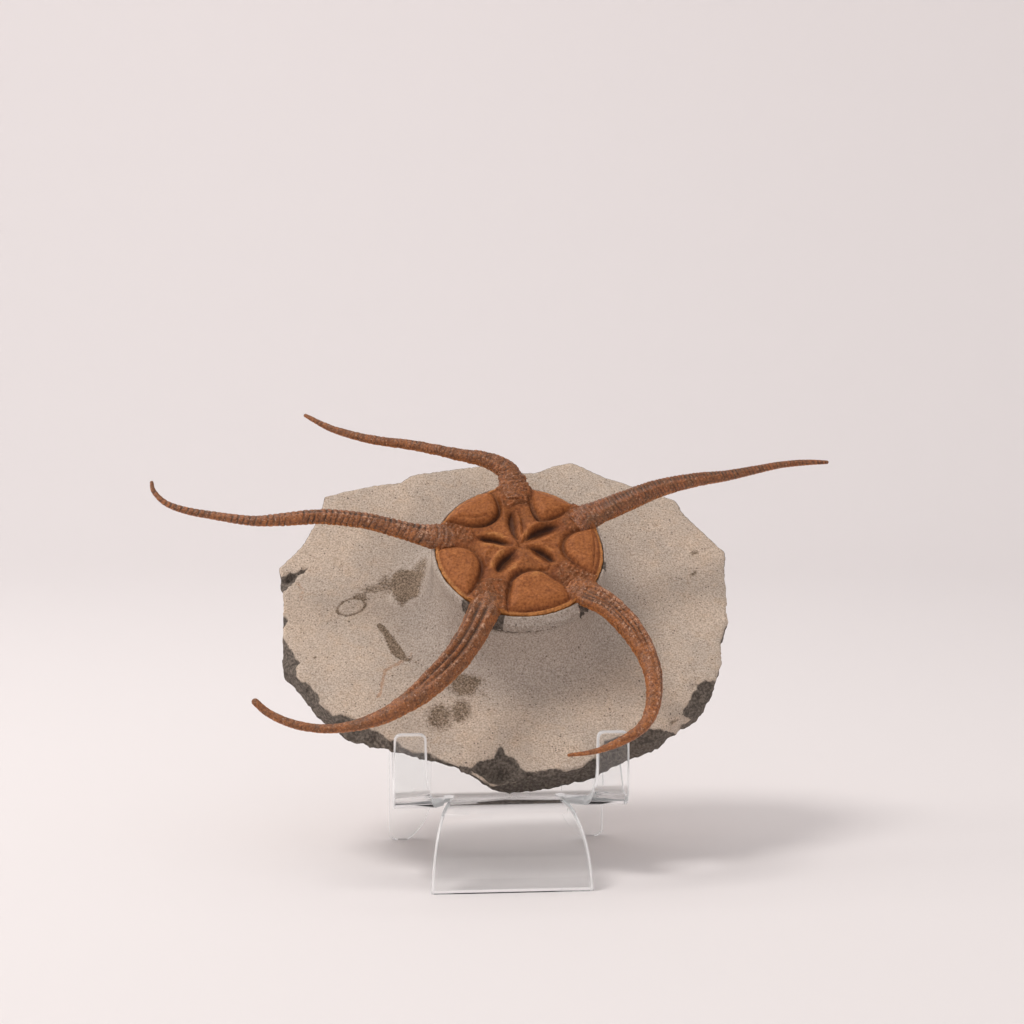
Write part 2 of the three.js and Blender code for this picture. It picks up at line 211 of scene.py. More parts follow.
def newMaterial(name, fields=(), lumps=None):
    # a bare material, and what its nodes start from: places on the piece in millimetres, the values kept
    # on its mesh, and unevenness in a few sizes, each given as (size, detail)
    m = bpy.data.materials.new(name)
    m.use_nodes = True
    m.node_tree.nodes.clear()
    place = addNode(m, "TexCoord", output="Object")
    place = addNode(m, "VectorMath", {"operation": "SCALE"}, {0: place, "Scale": 1 / mm})
    given = {"place": place}
    for key in fields:
        given[key] = addNode(m, "Attribute", {"attribute_name": key}, output="Fac")
    for key, (size, detail) in (lumps or {}).items():
        given[key] = addNode(m, "TexNoise", {}, {"Vector": place, "Scale": 1 / size, "Detail": detail})
    return m, given


def layOver(m, colour, over, value, low, high, strength=1.0, within=None):
    # lays one colour over another as the value goes from low to high, by its share of a mask if there is one
    links = {"Value": value, "From Min": low, "From Max": high, "To Max": strength}
    share = addNode(m, "MapRange", {}, links)
    if within is not None:
        share = addNode(m, "Math", {"operation": "MULTIPLY"}, {0: share, 1: within})
    return addNode(m, "Mix", {"data_type": "RGBA"}, {0: share, 6: colour, 7: over}, 2)


def darken(m, colour, shade, value, low, high):
    # shades a colour where the value is low, and leaves it as it is where the value is high
    shade = layOver(m, shade, "#ffffff", value, low, high)
    links = {0: 1.0, 6: colour, 7: shade}
    return addNode(m, "Mix", {"data_type": "RGBA", "blend_type": "MULTIPLY"}, links, 2)


def finishMaterial(m, values, relief=None, strength=0.0, depth=0.0):
    # the shader with its values, bumped by the relief where there is one
    if relief is not None:
        links = {"Height": relief, "Strength": strength, "Distance": depth * mm}
        values = {**values, "Normal": addNode(m, "Bump", {}, links)}
    shader = addNode(m, "BsdfPrincipled", {}, values)
    addNode(m, "OutputMaterial", {}, {"Surface": shader})
    return m


disc = {
    "radius": 23.95,
    "plate": 2.75,  # height of the plain surface
    "rim": {"middle": 23.3, "width": 0.4, "height": 0.08, "fall": 0.5},
    "gutter": {"middle": 22.8, "width": 0.25, "depth": 0.16},  # between the lobes and the rim
    "lobeSwell": 1.4,
    "lobeShoulder": 3.2,  # how far in from its edge a lobe is still rising
    "grooveWidth": 0.55,
    "scoopDepth": 2.3,
    "wrinkle": {"spacing": 1.5, "height": 0.12},  # across the bands that run out to the arms
    "knobs": {"size": 1.3, "height": 0.5},
    "grit": 0.09,
    "mouth": {"middle": (0.2, 1.2), "size": 0.8, "depth": 0.8},
    # the side, as distance in from the full radius and share of the height
    "side": [(0.1, 0.97), (0.0, 0.86), (0.02, 0.62), (0.1, 0.42), (0.3, 0.22), (0.8, 0.06), (2.2, 0)],
    "around": 420,  # points round it
    "rings": 118,  # from its middle to its side
    # each lobe: the direction that its groove is deepest towards, that depth, and its outline
    "lobes": {
        "backLeft": (-38, 1.3, [
            (-20.4, 10.9), (-18.9, 13.4), (-16.4, 16.3), (-13.5, 18.8), (-10.2, 20.7), (-7.7, 21.8),
            (-6.2, 20.1), (-5.1, 15.6), (-5.8, 12.8), (-7.6, 10.7), (-10.2, 9.4), (-13.4, 9.1), (-17.3, 9.9),
        ]),
        "backRight": (-115, 0.95, [
            (5.2, 22.4), (7.8, 21.7), (10.6, 20.5), (13.4, 18.8), (16.5, 16.1), (14, 14), (11, 12.2),
            (8.2, 10.9), (6.5, 11.5), (5.6, 13.7), (5, 17),
        ]),
        "right": (160, 0.85, [
            (12.6, 0.3), (13.1, 2.7), (14.3, 4.6), (16.6, 6.2), (20.8, 7.4), (22.2, 6.5), (22.9, 3.2),
            (22.8, -1.3), (22.1, -5.6), (20.7, -9.4), (17.4, -7.4), (15, -4.7), (13.3, -2.4),
        ]),
        "front": (125, 1.0, [
            (-3.2, -12.6), (-2.2, -10.7), (-0.5, -9.1), (1.6, -8.2), (4.4, -8.1), (6.6, -9), (8.8, -11),
            (11, -13.2), (12.3, -15.7), (12.6, -18.2), (9.5, -20.2), (5.6, -21.7), (1.7, -22.4),
            (-1.6, -22.7), (-4.3, -22.5), (-4.6, -19.7), (-3.9, -16),
        ]),
        "left": (-12, 1.0, [
            (-23.1, -1.3), (-22.1, 0.2), (-18, 0.7), (-15.2, 0.1), (-12.9, -1.5), (-11.6, -4.2),
            (-11.4, -7), (-12.1, -10), (-13, -12.8), (-15.4, -16.5), (-16.4, -16.2), (-18.4, -14),
            (-20.3, -11), (-21.9, -7.2), (-22.7, -4.1),
        ]),
    },
    # scoops that meet at the mouth: steep side (1 left, -1 right), half width, share of depth, path
    "scoops": [
        (1, 1.7, 1.0, [(1.3, 2.1), (3.5, 5), (6.2, 7.1), (9.6, 8.5), (13.8, 8.2)]),
        (1, 1.4, 0.9, [(1.9, 0.8), (5, -0.1), (7.3, -1.8), (8.9, -3.8), (10.2, -6)]),
        (-1, 1.7, 1.0, [(-0.4, 0.1), (-2.6, -1.9), (-4.6, -3.8), (-6.1, -6.4), (-6.7, -9.9)]),
        (-1, 1.2, 0.85, [(-1.5, 1.3), (-4.1, 2.6), (-6.5, 3.7), (-9, 4.3), (-13.6, 4.5)]),
    ],
    # towards the back arm there is a leaf-shaped hollow with a wedge standing in it
    "leaf": {
        "depth": 1.6,
        "outline": [
            (-0.2, 2.7), (-1.7, 5), (-2.8, 8.2), (-2.9, 11.6), (-2, 14.2), (-0.6, 15.2), (0.8, 14.6),
            (1.7, 12.9), (2.3, 10.6), (2.3, 7.6), (1.7, 4.2), (0.7, 2.2),
        ],
        "wedge": [(0.9, 3.4), (0.6, 7), (0.5, 11), (0, 14.2)],
        "wedgeHalfWidth": 1.9,
        "wedgeHeight": 1.5,
    },
    # lesser lines: half width, depth (negative stands up), path
    "creases": [
        (0.3, 0.55, [(3.9, 20.6), (4.1, 17), (4.9, 13.4), (6.2, 10.8)]),
        (0.35, -0.3, [(4.5, 20.9), (4.6, 17.2), (5.3, 13.6), (6.6, 11)]),
        (0.3, 0.45, [(-2.2, 15.4), (0.4, 16.9), (3.6, 17.2)]),
        (0.35, -0.3, [(-1.6, 16.2), (0.8, 17.8), (4, 18.2)]),
        (0.5, -0.4, [(-4.3, 19.8), (-3.9, 16.4), (-3.7, 12.6)]),
        (0.4, 0.45, [(-16.2, 11.6), (-12.4, 11.1), (-9.2, 11.9)]),
        (0.5, 0.35, [(-13.2, 6.2), (-10.4, 5.8), (-7.4, 6.4)]),
        (0.5, -0.35, [(4, 8), (7.6, 10), (11, 10.4)]),
        (0.5, -0.35, [(7.4, 1.8), (10.4, 0.4), (11.6, -2)]),
        (0.5, -0.4, [(2, -3.2), (5.4, -6.2), (8, -7)]),
        (0.5, -0.35, [(-7.6, 1), (-10, -2.2), (-9.8, -6)]),
        (0.3, 0.5, [(19.9, -8.9), (20.7, -5.2), (21.4, -0.8), (21.5, 3.4)]),
        (0.4, -0.35, [(-2.3, -12), (-5.2, -12.4), (-8.4, -12)]),
        (0.35, 0.4, [(8.4, -6.4), (7.2, -8), (5.2, -7.4)]),
        (0.35, 0.4, [(10.6, -6.6), (11.4, -9.4), (12.8, -12)]),
    ],
    # the rough bands where the arms' undersides cross the disc
    "bands": [
        [
            (-5.4, 25), (-4.6, 20.4), (-4.4, 16.6), (-2.6, 15.4), (0.6, 16.2), (3.6, 15.6), (4.4, 18),
            (4.8, 25),
        ],
        [(-25, 10.2), (-21.2, 9.9), (-15.4, 8.8), (-12.8, 6.6), (-13.4, 2.6), (-18, 1.7), (-25, 0.8)],
        [(15.4, 15.4), (17.6, 18.4), (25, 7.8), (19.8, 7.4), (15.6, 6.4), (13.2, 8.4), (12.8, 11.8)],
        [(-12.2, -11.6), (-7.6, -10.8), (-3.6, -12.3), (-4.6, -17), (-5.6, -25), (-15.8, -19), (-13.8, -14)],
        [
            (10.9, -6.4), (13.2, -4.4), (16, -6.8), (20.4, -9.8), (23.4, -10.8), (14, -21),
            (12.4, -16.8), (9.6, -10.4),
        ],
    ],
    # deep is painted shade for the grooves and hollows
    "colours": {
        "plain": "#a26434", "red": "#8f532b", "lobe": "#b4703c", "rim": "#ce8d51", "band": "#915c36",
        "bandRed": "#a36338", "paintedGlint": "#cfab92", "deep": "#33190c", "mottle": "#dcd4cc", "pits": "#cdc2b8",
    },
    # stain, crystal patches, and the needle's pits and dust. Real pits are about 0.1 mm and the dust is
    # finer, so both are drawn as coarse as they need to show.
    "lumps": {"patches": (6, 3), "mottle": (1.6, 4), "pits": (0.7, 4), "dust": (0.34, 2)},  # size, detail
    "bump": (0.7, 0.3),  # strength, depth
    "finish": {"Roughness": 0.62, "IOR": 1.55, "Specular IOR Level": 0.22},
}


def discTop(points):
    # height of the disc's upper side, and how hollow (painted as shade), how bright and how much part of a
    # band it is
    radius = np.hypot(*points.T)
    height = np.full(len(points), disc["plate"])
    hollow = np.zeros(len(points))
    swollen = np.zeros(len(points))
    band = np.zeros(len(points))
    loose = 0.35 * grain(points, 1.6, 3, 6)
    for outline in disc["bands"]:
        away = fromOutline(points, smoothPath(outline, closed=True))
        band = np.maximum(band, fade(-away + loose, -0.3, 1.1))
    for deepTowards, depth, outline in disc["lobes"].values():
        outline = smoothPath(outline, closed=True)
        away = fromOutline(points, outline)
        direction = np.arctan2(*(points - outline.mean(axis=0)).T[::-1])
        facing = 0.5 + 0.5 * np.cos(direction - radians(deepTowards))
        deep = depth * (0.35 + 0.75 * facing**2)
        groove = deep * bump(away - 0.25, disc["grooveWidth"] * (0.75 + 0.9 * facing**2))
        swell = disc["lobeSwell"] * np.sin(np.clip(-away / disc["lobeShoulder"], 0, 1) * pi / 2)
        height += swell - groove
        swollen = np.maximum(swollen, fade(-away, -0.1, 1.2))
        hollow += groove
    golden = np.zeros(len(points))
    for steep, halfWidth, share, path in disc["scoops"]:
        away, along, side = fromPath(points, smoothPath(path))
        width = halfWidth * np.where(side == steep, 0.75, 1.3) * (0.35 + 0.65 * np.sin(pi * along) ** 0.7)
        ends = fade(along, -0.1, 0.4) * fade(-along, -1, -0.65)
        cut = share * disc["scoopDepth"] * ends * np.exp(-((away / width) ** 2.4))
        height += 0.3 * bump(away - width * 1.9, 0.7) * ends - cut
        # painted shade in the scoops, deepest on each one's steep side
        hollow += cut * np.where(side == steep, 1.0, 0.55)
        golden = np.maximum(golden, ends * bump(away - width * 1.8, 1.0))
    leaf = disc["leaf"]
    away = fromOutline(points, smoothPath(leaf["outline"], closed=True))
    offWedge = fromPath(points, smoothPath(leaf["wedge"]))[0]
    standing = leaf["wedgeHeight"] * fade(-offWedge, -leaf["wedgeHalfWidth"], 0) * fade(-away, -0.1, 0.5)
    cut = np.maximum(leaf["depth"] * fade(-away, -0.2, 0.9) - standing, 0) + 0.35 * bump(away - 0.1, 0.3)
    height -= cut
    hollow += cut * 0.8
    for halfWidth, depth, path in disc["creases"]:
        line = depth * bump(fromPath(points, smoothPath(path))[0], halfWidth)
        height -= line
        hollow += np.maximum(line, 0)
    mouth = bump(np.hypot(*(points - np.array(disc["mouth"]["middle"])).T), disc["mouth"]["size"])
    height -= mouth * disc["mouth"]["depth"]
    hollow += mouth * 0.4
    rim, gutter = disc["rim"], disc["gutter"]
    channel = gutter["depth"] * bump(radius - gutter["middle"], gutter["width"]) * (1 - band)
    height += rim["height"] * bump(radius - rim["middle"], rim["width"]) * (1 - band) - channel
    height -= rim["fall"] * fade(radius, rim["middle"] - 0.2, disc["radius"]) * (1 - 0.7 * band)
    hollow += channel * 0.9
    warp = points + 0.5 * np.column_stack([grain(points, 2.5, 2, 1), grain(points, 2.5, 2, 2)])
    waves = np.cos(2 * pi * np.hypot(*warp.T) / disc["wrinkle"]["spacing"])
    lumps = np.abs(grain(points, disc["knobs"]["size"], 3, 7))
    rough = disc["wrinkle"]["height"] * waves + disc["knobs"]["height"] * (lumps - 0.15)
    height += band * (0.45 + 0.55 * fade(radius, 17, 24) + rough)
    # painted shade in the crevices between the bands' knobs
    hollow += band * np.clip(0.28 - lumps * 2.4 - 0.12 * waves, 0, 1)
    height += disc["grit"] * grain(warp, 0.9, 4, 3) + 0.15 * grain(points, 4, 2, 4)
    golden = 0.5 * golden + 0.7 * np.clip(grain(points, 5, 3, 8) + 0.2, 0, 0.6) * fade(-radius, -14, -10)
    bright = np.clip(fade(radius, 22.7, 23.2) + 0.5 * swollen + golden, 0, 1) * (1 - band)
    return height, np.clip(hollow, 0, 1.6), bright, band


def makeDisc():
    around = disc["around"]
    directions = spokes(around)[1]
    radii = np.linspace(0.35, disc["radius"] - 0.3, disc["rings"])
    points = (radii[:, None, None] * directions).reshape(-1, 2)
    height, hollow, bright, band = discTop(points)
    top = np.column_stack([points, height]).reshape(len(radii), around, 3)
    ragged = 0.2 * grain(directions * 24, 1.6, 4, 5) - 0.12
    edge = []
    for inset, share in disc["side"]:
        reach = disc["radius"] - inset + ragged * fade(share, 0, 0.5)
        edge.append(np.column_stack([directions * reach[:, None], top[-1, :, 2] * share]))
    rings = np.concatenate([top, np.array(edge)])
    none = np.zeros((len(edge), around))
    fields = {
        "hollow": np.vstack([hollow.reshape(-1, around), none]),
        "bright": np.vstack([bright.reshape(-1, around), none + 1]),
        "band": np.vstack([band.reshape(-1, around), none]),
    }
    centre = discTop(np.zeros((1, 2)))[0][0]
    return skin("starDisc", rings, [0, 0, centre], [0, 0, 0], starOrigin, fields)


def makeDiscCalcite():
    # Calcite stained by iron and cleaned with a needle: satin orange brown, finely pitted, with painted shade
    # in its grooves and hollows, painted glints on the bands, and brightest at the thin rim.
    fields = ("hollow", "bright", "band")
    m, given = newMaterial("iron-stained calcite, needle-cleaned", fields, disc["lumps"])
    colours, band = disc["colours"], given["band"]
    colour = layOver(m, colours["plain"], colours["red"], given["patches"], 0.4, 0.62)
    colour = layOver(m, colour, colours["lobe"], given["bright"], 0.0, 0.55)
    colour = layOver(m, colour, colours["rim"], given["bright"], 0.55, 1.0)
    colour = layOver(m, colour, colours["band"], band, 0.15, 0.8)
    colour = layOver(m, colour, colours["bandRed"], given["mottle"], 0.48, 0.62, within=band)
    colour = darken(m, colour, colours["mottle"], given["mottle"], 0.3, 0.7)
    colour = darken(m, colour, colours["pits"], given["pits"], 0.34, 0.6)
    # painted glints: pale highlights on the bands' knobs
    colour = layOver(m, colour, colours["paintedGlint"], given["pits"], 0.62, 0.7, 0.55, within=band)
    # painted shade: the deep colour darkens the grooves, scoops and hollows
    colour = layOver(m, colour, colours["deep"], given["hollow"], 0.2, 1.7)
    relief = addNode(m, "Math", {"operation": "MULTIPLY_ADD"}, {0: given["dust"], 1: 0.4, 2: given["pits"]})
    return finishMaterial(m, {"Base Color": colour, **disc["finish"]}, relief, *disc["bump"])


starDisc = makeDisc()
starDisc.data.materials.append(makeDiscCalcite())
print("disc made,", len(starDisc.data.polygons), "faces")

# Each arm's middle line is (across, up the slope, height, width, thickness as a share of width).
# Places across an arm run from -1 at its left edge to 1, looking outward, and distances along it start
# where it leaves its band on the disc.
arms = {
    "armBackLeft": {
        "line": [
            (0, 19, 1.4, 8.4, 0.5), (-0.1, 21.5, 1.9, 9, 0.48), (-0.2, 24.5, 2.3, 8.6, 0.52),
            (-0.9, 28, 2.6, 7, 0.64), (-2.5, 30.9, 3, 6.1, 0.76), (-8, 34, 3.5, 4.9, 0.82),
            (-16.5, 35.8, 4, 3.7, 0.82), (-28.8, 39.3, 4, 3.1, 0.82), (-41, 41.2, 4.5, 2.7, 0.82),
            (-52.6, 45, 5, 2.1, 0.82), (-61.3, 50.1, 6, 1.1, 0.9),
        ],
        "rings": (1.3, 0.18, 0.16),  # plates' spacing, ridges' height on top and at the sides
        "lumps": (2.2, 0.3),  # size, height
        "beads": [],  # place across, spacing, radius, height, from, to
        # place across, half width, depth, from, to
        "furrows": [(0.25, 0.16, 0.18, 5, 35), (-0.3, 0.14, 0.15, 9, 55)],
        "root": (9, 0.42),  # how far out it is rough, and how rough
        "colours": ("#ac6c3c", "#905b32"),
    },
    "armLeft": {
        "line": [
            (-18.2, 5.2, 1.4, 8.4, 0.5), (-20.9, 5, 1.9, 9, 0.48), (-24, 4.9, 2.3, 8.4, 0.52),
            (-27.5, 5.4, 2.6, 6.6, 0.66), (-30.4, 6.2, 2.8, 5.6, 0.78), (-35, 7.6, 3, 5.1, 0.82),
            (-43.6, 10.1, 3.5, 4.7, 0.82), (-55.3, 11.7, 3.5, 4.4, 0.82), (-65.7, 11.3, 3, 3.9, 0.82),
            (-75.1, 11.1, 2.5, 3, 0.82), (-87.3, 13.8, 2, 2.4, 0.82), (-94.7, 15.7, 2, 2.1, 0.82),
            (-100.2, 18, 2.5, 1.7, 0.82), (-103.7, 21.5, 3.5, 1.4, 0.82), (-104.6, 24.8, 4.5, 1, 0.9),
        ],
        "rings": (1.65, 0.4, 0.3),
        "lumps": (1.6, 0.12),
        "beads": [
            (0.15, 1.65, 0.8, 0.26, 4, 44), (-0.42, 1.65, 0.65, 0.22, 4, 36), (0.5, 1.65, 0.5, 0.1, 6, 40),
        ],
        "furrows": [(-0.15, 0.16, 0.25, 7, 55), (0.16, 0.14, -0.25, 5, 60)],
        "root": (8, 0.42),
        "colours": ("#ad6d3d", "#905c34"),
    },
    "armRight": {
        "line": [
            (16.2, 9.9, 1.4, 8.4, 0.5), (18.4, 11.1, 1.9, 9, 0.48), (21.1, 12.5, 2.3, 8.6, 0.52),
            (24.2, 14, 2.6, 7.3, 0.64), (27, 15.2, 2.8, 6.9, 0.76), (33.8, 17.9, 3.8, 6.2, 0.82),
            (42.7, 21.6, 4.5, 5.3, 0.82), (53.9, 24.8, 4.5, 4.2, 0.82), (63.1, 26.8, 4, 3.3, 0.82),
            (71.6, 29, 4, 2.6, 0.82), (80.3, 31.2, 4, 2.1, 0.82), (88.1, 31.7, 4.5, 1.8, 0.82),
            (94.7, 31.3, 5, 1, 0.9),
        ],
        "rings": (1.15, 0.28, 0.22),
        "lumps": (1.8, 0.12),
        "beads": [(-0.72, 1.5, 0.3, 0.14, 6, 33)],
        "furrows": [(0.1, 0.25, 0.2, 7, 65), (-0.35, 0.12, -0.15, 6, 50), (0.5, 0.12, -0.15, 8, 45)],
        "root": (7, 0.36),
        "colours": ("#a5663b", "#8c5d38"),
    },
    "armFrontLeft": {
        "line": [
            (-9.1, -16.7, 1.4, 8.4, 0.5), (-10, -19, 1.9, 9, 0.48), (-11.2, -21.8, 2.3, 8.8, 0.54),
            (-12.5, -25, 2.5, 8.5, 0.68), (-13.7, -27.7, 2.5, 8.2, 0.76), (-15, -30.5, 2.5, 8, 0.8),
            (-20, -38.6, 2, 7.5, 0.82), (-27.3, -46.6, 1, 6.6, 0.82), (-34.1, -52, 0, 5.1, 0.82),
            (-41, -55.6, -1, 4, 0.82), (-49.1, -57.5, -2, 2.8, 0.82), (-56.5, -57.5, -2.5, 2.4, 0.82),
            (-63.6, -55.8, -2.5, 2.3, 0.82), (-69.9, -52.6, -2, 2.1, 0.82), (-74, -48.9, -1, 1.9, 0.85),
        ],
        "rings": (1.5, 0.08, 0.16),
        "lumps": (1.6, 0.2),
        "beads": [(-0.52, 1.3, 0.6, 0.2, 2, 46), (0.46, 1.3, 0.6, 0.2, 2, 46), (0.0, 1.5, 0.4, 0.08, 3, 40)],
        "furrows": [
            (-0.25, 0.13, 0.8, 3, 47), (0.2, 0.13, 0.75, 3, 42), (-0.52, 0.12, -0.5, 2, 47),
            (-0.02, 0.08, -0.35, 3, 40), (0.47, 0.13, -0.45, 2, 42), (-0.8, 0.1, 0.3, 4, 34),
        ],
        "root": (6, 0.36),
        "colours": ("#a96a3a", "#8d5b33"),
    },
    "armFrontRight": {
        "line": [
            (14.3, -12.5, 1.4, 8.4, 0.5), (16, -14.3, 1.9, 9, 0.48), (18.1, -16.5, 2.3, 8.6, 0.52),
            (20.8, -18.8, 2.5, 7.6, 0.66), (24.1, -21.9, 2.5, 7, 0.78), (29.2, -29.3, 2, 6.6, 0.82),
            (32.7, -38.7, 1.5, 5.4, 0.82), (33.4, -47.1, 1, 4.6, 0.82), (32.1, -54.4, 0, 3.9, 0.82),
            (28.9, -60, -0.5, 3, 0.82), (22.9, -64, -1, 2.4, 0.82), (15.7, -66.8, -1.5, 1.5, 0.85),
            (8.2, -67.9, -1.5, 0.8, 0.9),
        ],
        "rings": (1.4, 0.08, 0.16),
        "lumps": (1.6, 0.2),
        "beads": [(0.5, 1.4, 0.8, 0.2, 4, 64), (0.1, 1.4, 0.55, 0.14, 3, 44), (-0.55, 1.4, 0.5, 0.12, 3, 34)],
        "furrows": [
            (-0.12, 0.1, 0.7, 3, 37), (0.2, 0.1, 0.6, 3, 40), (-0.4, 0.08, 0.5, 3, 31),
            (-0.66, 0.08, 0.4, 4, 26), (-0.25, 0.09, -0.4, 3, 36), (0.05, 0.09, -0.4, 3, 42),
            (0.45, 0.14, -0.45, 3, 60), (0.75, 0.08, 0.35, 6, 55),
        ],
        "root": (6, 0.4),
        "colours": ("#b4703a", "#9a6338"),
    },
}
armSurface = {
    "around": 60,  # points round an arm
    "step": 0.2,  # between rows of points along it
    "section": (0.85, 0.9),  # how square it is across and upwards, where 1 is a true oval and 0 a box
    "bow": 0.35,  # how far the plates' joints curve forward, as a share of the arm's girth
    "knobs": 1.3,
    "grit": (0.6, 0.05),
    # furrow: the dark of the plates' joints, and painted shade in the furrows
    "colours": {
        "flank": "#c57a38", "bead": "#cfa88c", "furrow": "#33200f", "mottle": "#d8cfc7", "grit": "#c0b2a6",
    },
    # stain, crystal patches, the plates' grit, and painted glints for glinting crystal faces; grit and faces
    # are about 0.1 mm in the real one and are drawn as coarse as they need to show
    "lumps": {"patches": (3.5, 3), "mottle": (1.0, 4), "grit": (0.5, 3), "paintedGlints": (0.6, 2)},  # size, detail
    "bump": (0.7, 0.28),
    "finish": {"Roughness": 0.42, "IOR": 1.55, "Specular IOR Level": 0.4},
}


def makeArm(name, seed):
    arm, surface = arms[name], armSurface
    curve = smoothPath(arm["line"], step=0.05)
    lengths = np.concatenate([[0], np.cumsum(np.linalg.norm(np.diff(curve[:, :3], axis=0), axis=1))])
    total, tip = lengths[-1], curve[-1, 3] / 2
    rounding = total - tip * (1 - np.sin(np.linspace(0, pi / 2, 6)[1:-1]))
    stations = np.concatenate([np.arange(0.3, total - tip, surface["step"]), rounding])
    middle = np.column_stack([np.interp(stations, lengths, curve[:, k]) for k in range(5)])
    closing = np.clip((total - stations) / tip, 0, 1)
    half = middle[:, 3] / 2 * np.sqrt(1 - (1 - closing) ** 2)
    tangent = np.gradient(middle[:, :3], stations, axis=0)
    tangent /= np.linalg.norm(tangent, axis=1)[:, None]
    side = np.cross(tangent, [0, 0, 1])
    side /= np.linalg.norm(side, axis=1)[:, None]
    rise = np.cross(side, tangent)

    # a slightly squared oval
    turn, directions = spokes(surface["around"])
    x, z = (np.sign(directions) * np.abs(directions) ** surface["section"]).T
    wide = x[None, :, None] * side[:, None, :]
    tall = z[None, :, None] * rise[:, None, :]
    flatness = middle[:, None, 4:5]
    points = (middle[:, None, :3] + half[:, None, None] * (wide + tall * flatness)).reshape(-1, 3)
    outwards = (wide * flatness + tall).reshape(-1, 3)
    outwards /= np.linalg.norm(outwards, axis=1)[:, None]
    s = np.repeat(stations, len(turn))
    girth = np.repeat(half, len(turn))
    place = np.tile(-np.cos(turn), len(stations))
    up = np.tile(np.sin(turn), len(stations))
    onTop = fade(up, -0.1, 0.35)
    sides = fade(np.abs(place), 0.72, 0.98)
    thin = np.clip(girth / 3, 0.25, 1)

    # the plates' joints bow forward over the arm, wander, and fade in and out
    gap, ridge, sideRidge = arm["rings"]
    bowed = s + surface["bow"] * girth * (1 - place**2) ** 0.5 + 0.35 * grain(points, 4, 2, seed + 60)
    wave = 0.5 + 0.5 * np.cos(2 * pi * bowed / gap)
    uneven = np.clip(0.65 + 0.6 * grain(points, 3, 2, seed + 80), 0.1, 1.3)
    relief = (ridge * (1 - sides) + sideRidge * sides) * uneven * (0.5 - wave**3) * thin
    hollow = 0.75 * wave**3 * uneven * np.clip(ridge / 0.2, 0, 1.5)
    # where the raised beads get painted highlights
    bead = np.zeros(len(s))
    for spot, spacing, size, height, start, end in arm["beads"]:
        number = np.floor(bowed / spacing)
        vary = chance(number, seed)
        astray = chance(number, seed, 78.233, 125.43) - 0.5
        alongIt = (bowed / spacing % 1 - 0.5) * spacing + 0.5 * (vary - 0.5)
        off = np.hypot(alongIt * 0.8, (place - spot - 0.22 * astray) * girth)
        off += 0.35 * grain(points, 0.8, 3, seed + 100)
        present = fade(s, start, start + 4) * fade(-s, -end, -end + 10) * onTop * fade(vary, 0.1, 0.6)
        one = present * bump(off, size * (0.45 + 0.55 * vary) * np.clip(girth / 3.2, 0.4, 1.2))
        relief += height * one * np.clip(girth / 3, 0.3, 1)
        bead = np.maximum(bead, one)
    for spot, halfWidth, depth, start, end in arm["furrows"]:
        drift = 0.04 * np.sin(s / 5 + seed)
        present = fade(s, start, start + 3) * fade(-s, -end, -end + 14) * onTop
        furrow = present * bump(place - spot - drift, halfWidth)
        relief -= depth * furrow * np.clip(girth / 3.5, 0.2, 1)
        # painted shade in the furrows
        hollow += furrow * min(1, depth / 0.4)
    lumpSize, lumpHeight = arm["lumps"]
    gritSize, gritHeight = surface["grit"]
    rootEnd, rootRough = arm["root"]
    root = fade(-s, -rootEnd - 3, -rootEnd + 3)
    knobs = np.abs(grain(points, surface["knobs"], 3, seed + 20))
    relief = relief * (1 - 0.7 * root) * fade(girth, 0.1, 1.0)
    lumpy = lumpHeight * grain(points, lumpSize, 3, seed)
    relief += thin * (lumpy + gritHeight * grain(points, gritSize, 2, seed + 40))
    relief += root * rootRough * (knobs * 1.6 - 0.25 + 0.3 * (0.5 - wave))
    # painted shade in the crevices between the root's knobs
    hollow = hollow * (1 - 0.6 * root) + root * np.clip(0.4 - knobs * 2.2, 0, 1)
    rings = (points + outwards * relief[:, None]).reshape(len(stations), len(turn), 3)
    fields = {
        "hollow": np.clip(hollow, 0, 1.3),
        "bead": bead,
        "flank": fade(-up, -0.3, 0.25) * (1 - 0.6 * root),
    }
    return skin(name, rings, curve[0, :3], rings[-1].mean(axis=0), starOrigin, fields)


def makeArmCalcite(name):
    # The arms' calcite plates, needle-cleaned and left a little glossy: darker and redder than the disc,
    # orange where the needle cut below the surface at the sides, with painted highlights on beads and painted
    # shade in furrows.
    fields = ("hollow", "bead", "flank")
    m, given = newMaterial("iron-stained calcite plates, " + name, fields, armSurface["lumps"])
    colours = armSurface["colours"]
    first, second = arms[name]["colours"]
    colour = layOver(m, first, second, given["patches"], 0.38, 0.62)
    links = {0: given["mottle"], 1: 1.2, 2: given["flank"]}
    ragged = addNode(m, "Math", {"operation": "MULTIPLY_ADD"}, links)
    colour = layOver(m, colour, colours["flank"], ragged, 0.85, 1.5, 0.9)
    colour = darken(m, colour, colours["mottle"], given["mottle"], 0.32, 0.66)
    colour = darken(m, colour, colours["grit"], given["grit"], 0.34, 0.6)
    # the dark joints between the plates, and painted shade in the furrows and the root's crevices
    colour = layOver(m, colour, colours["furrow"], given["hollow"], 0.15, 1.1, 0.9)
    # painted highlights on the raised beads, broken up by grit, and a few painted glints
    worn = addNode(m, "MapRange", {}, {"Value": given["grit"], "From Min": 0.4, "From Max": 0.62})
    colour = layOver(m, colour, colours["bead"], given["bead"], 0.25, 0.9, 0.7, within=worn)
    colour = layOver(m, colour, colours["bead"], given["paintedGlints"], 0.64, 0.7, 0.5)
    relief = addNode(m, "Math", {"operation": "MULTIPLY_ADD"}, {0: given["mottle"], 1: 0.8, 2: given["grit"]})
    return finishMaterial(m, {"Base Color": colour, **armSurface["finish"]}, relief, *armSurface["bump"])


armPieces = {name: makeArm(name, seed) for seed, name in enumerate(arms, 1)}
for name, piece in armPieces.items():
    piece.data.materials.append(makeArmCalcite(name))
print("arms made,", sum(len(piece.data.polygons) for piece in armPieces.values()), "faces")

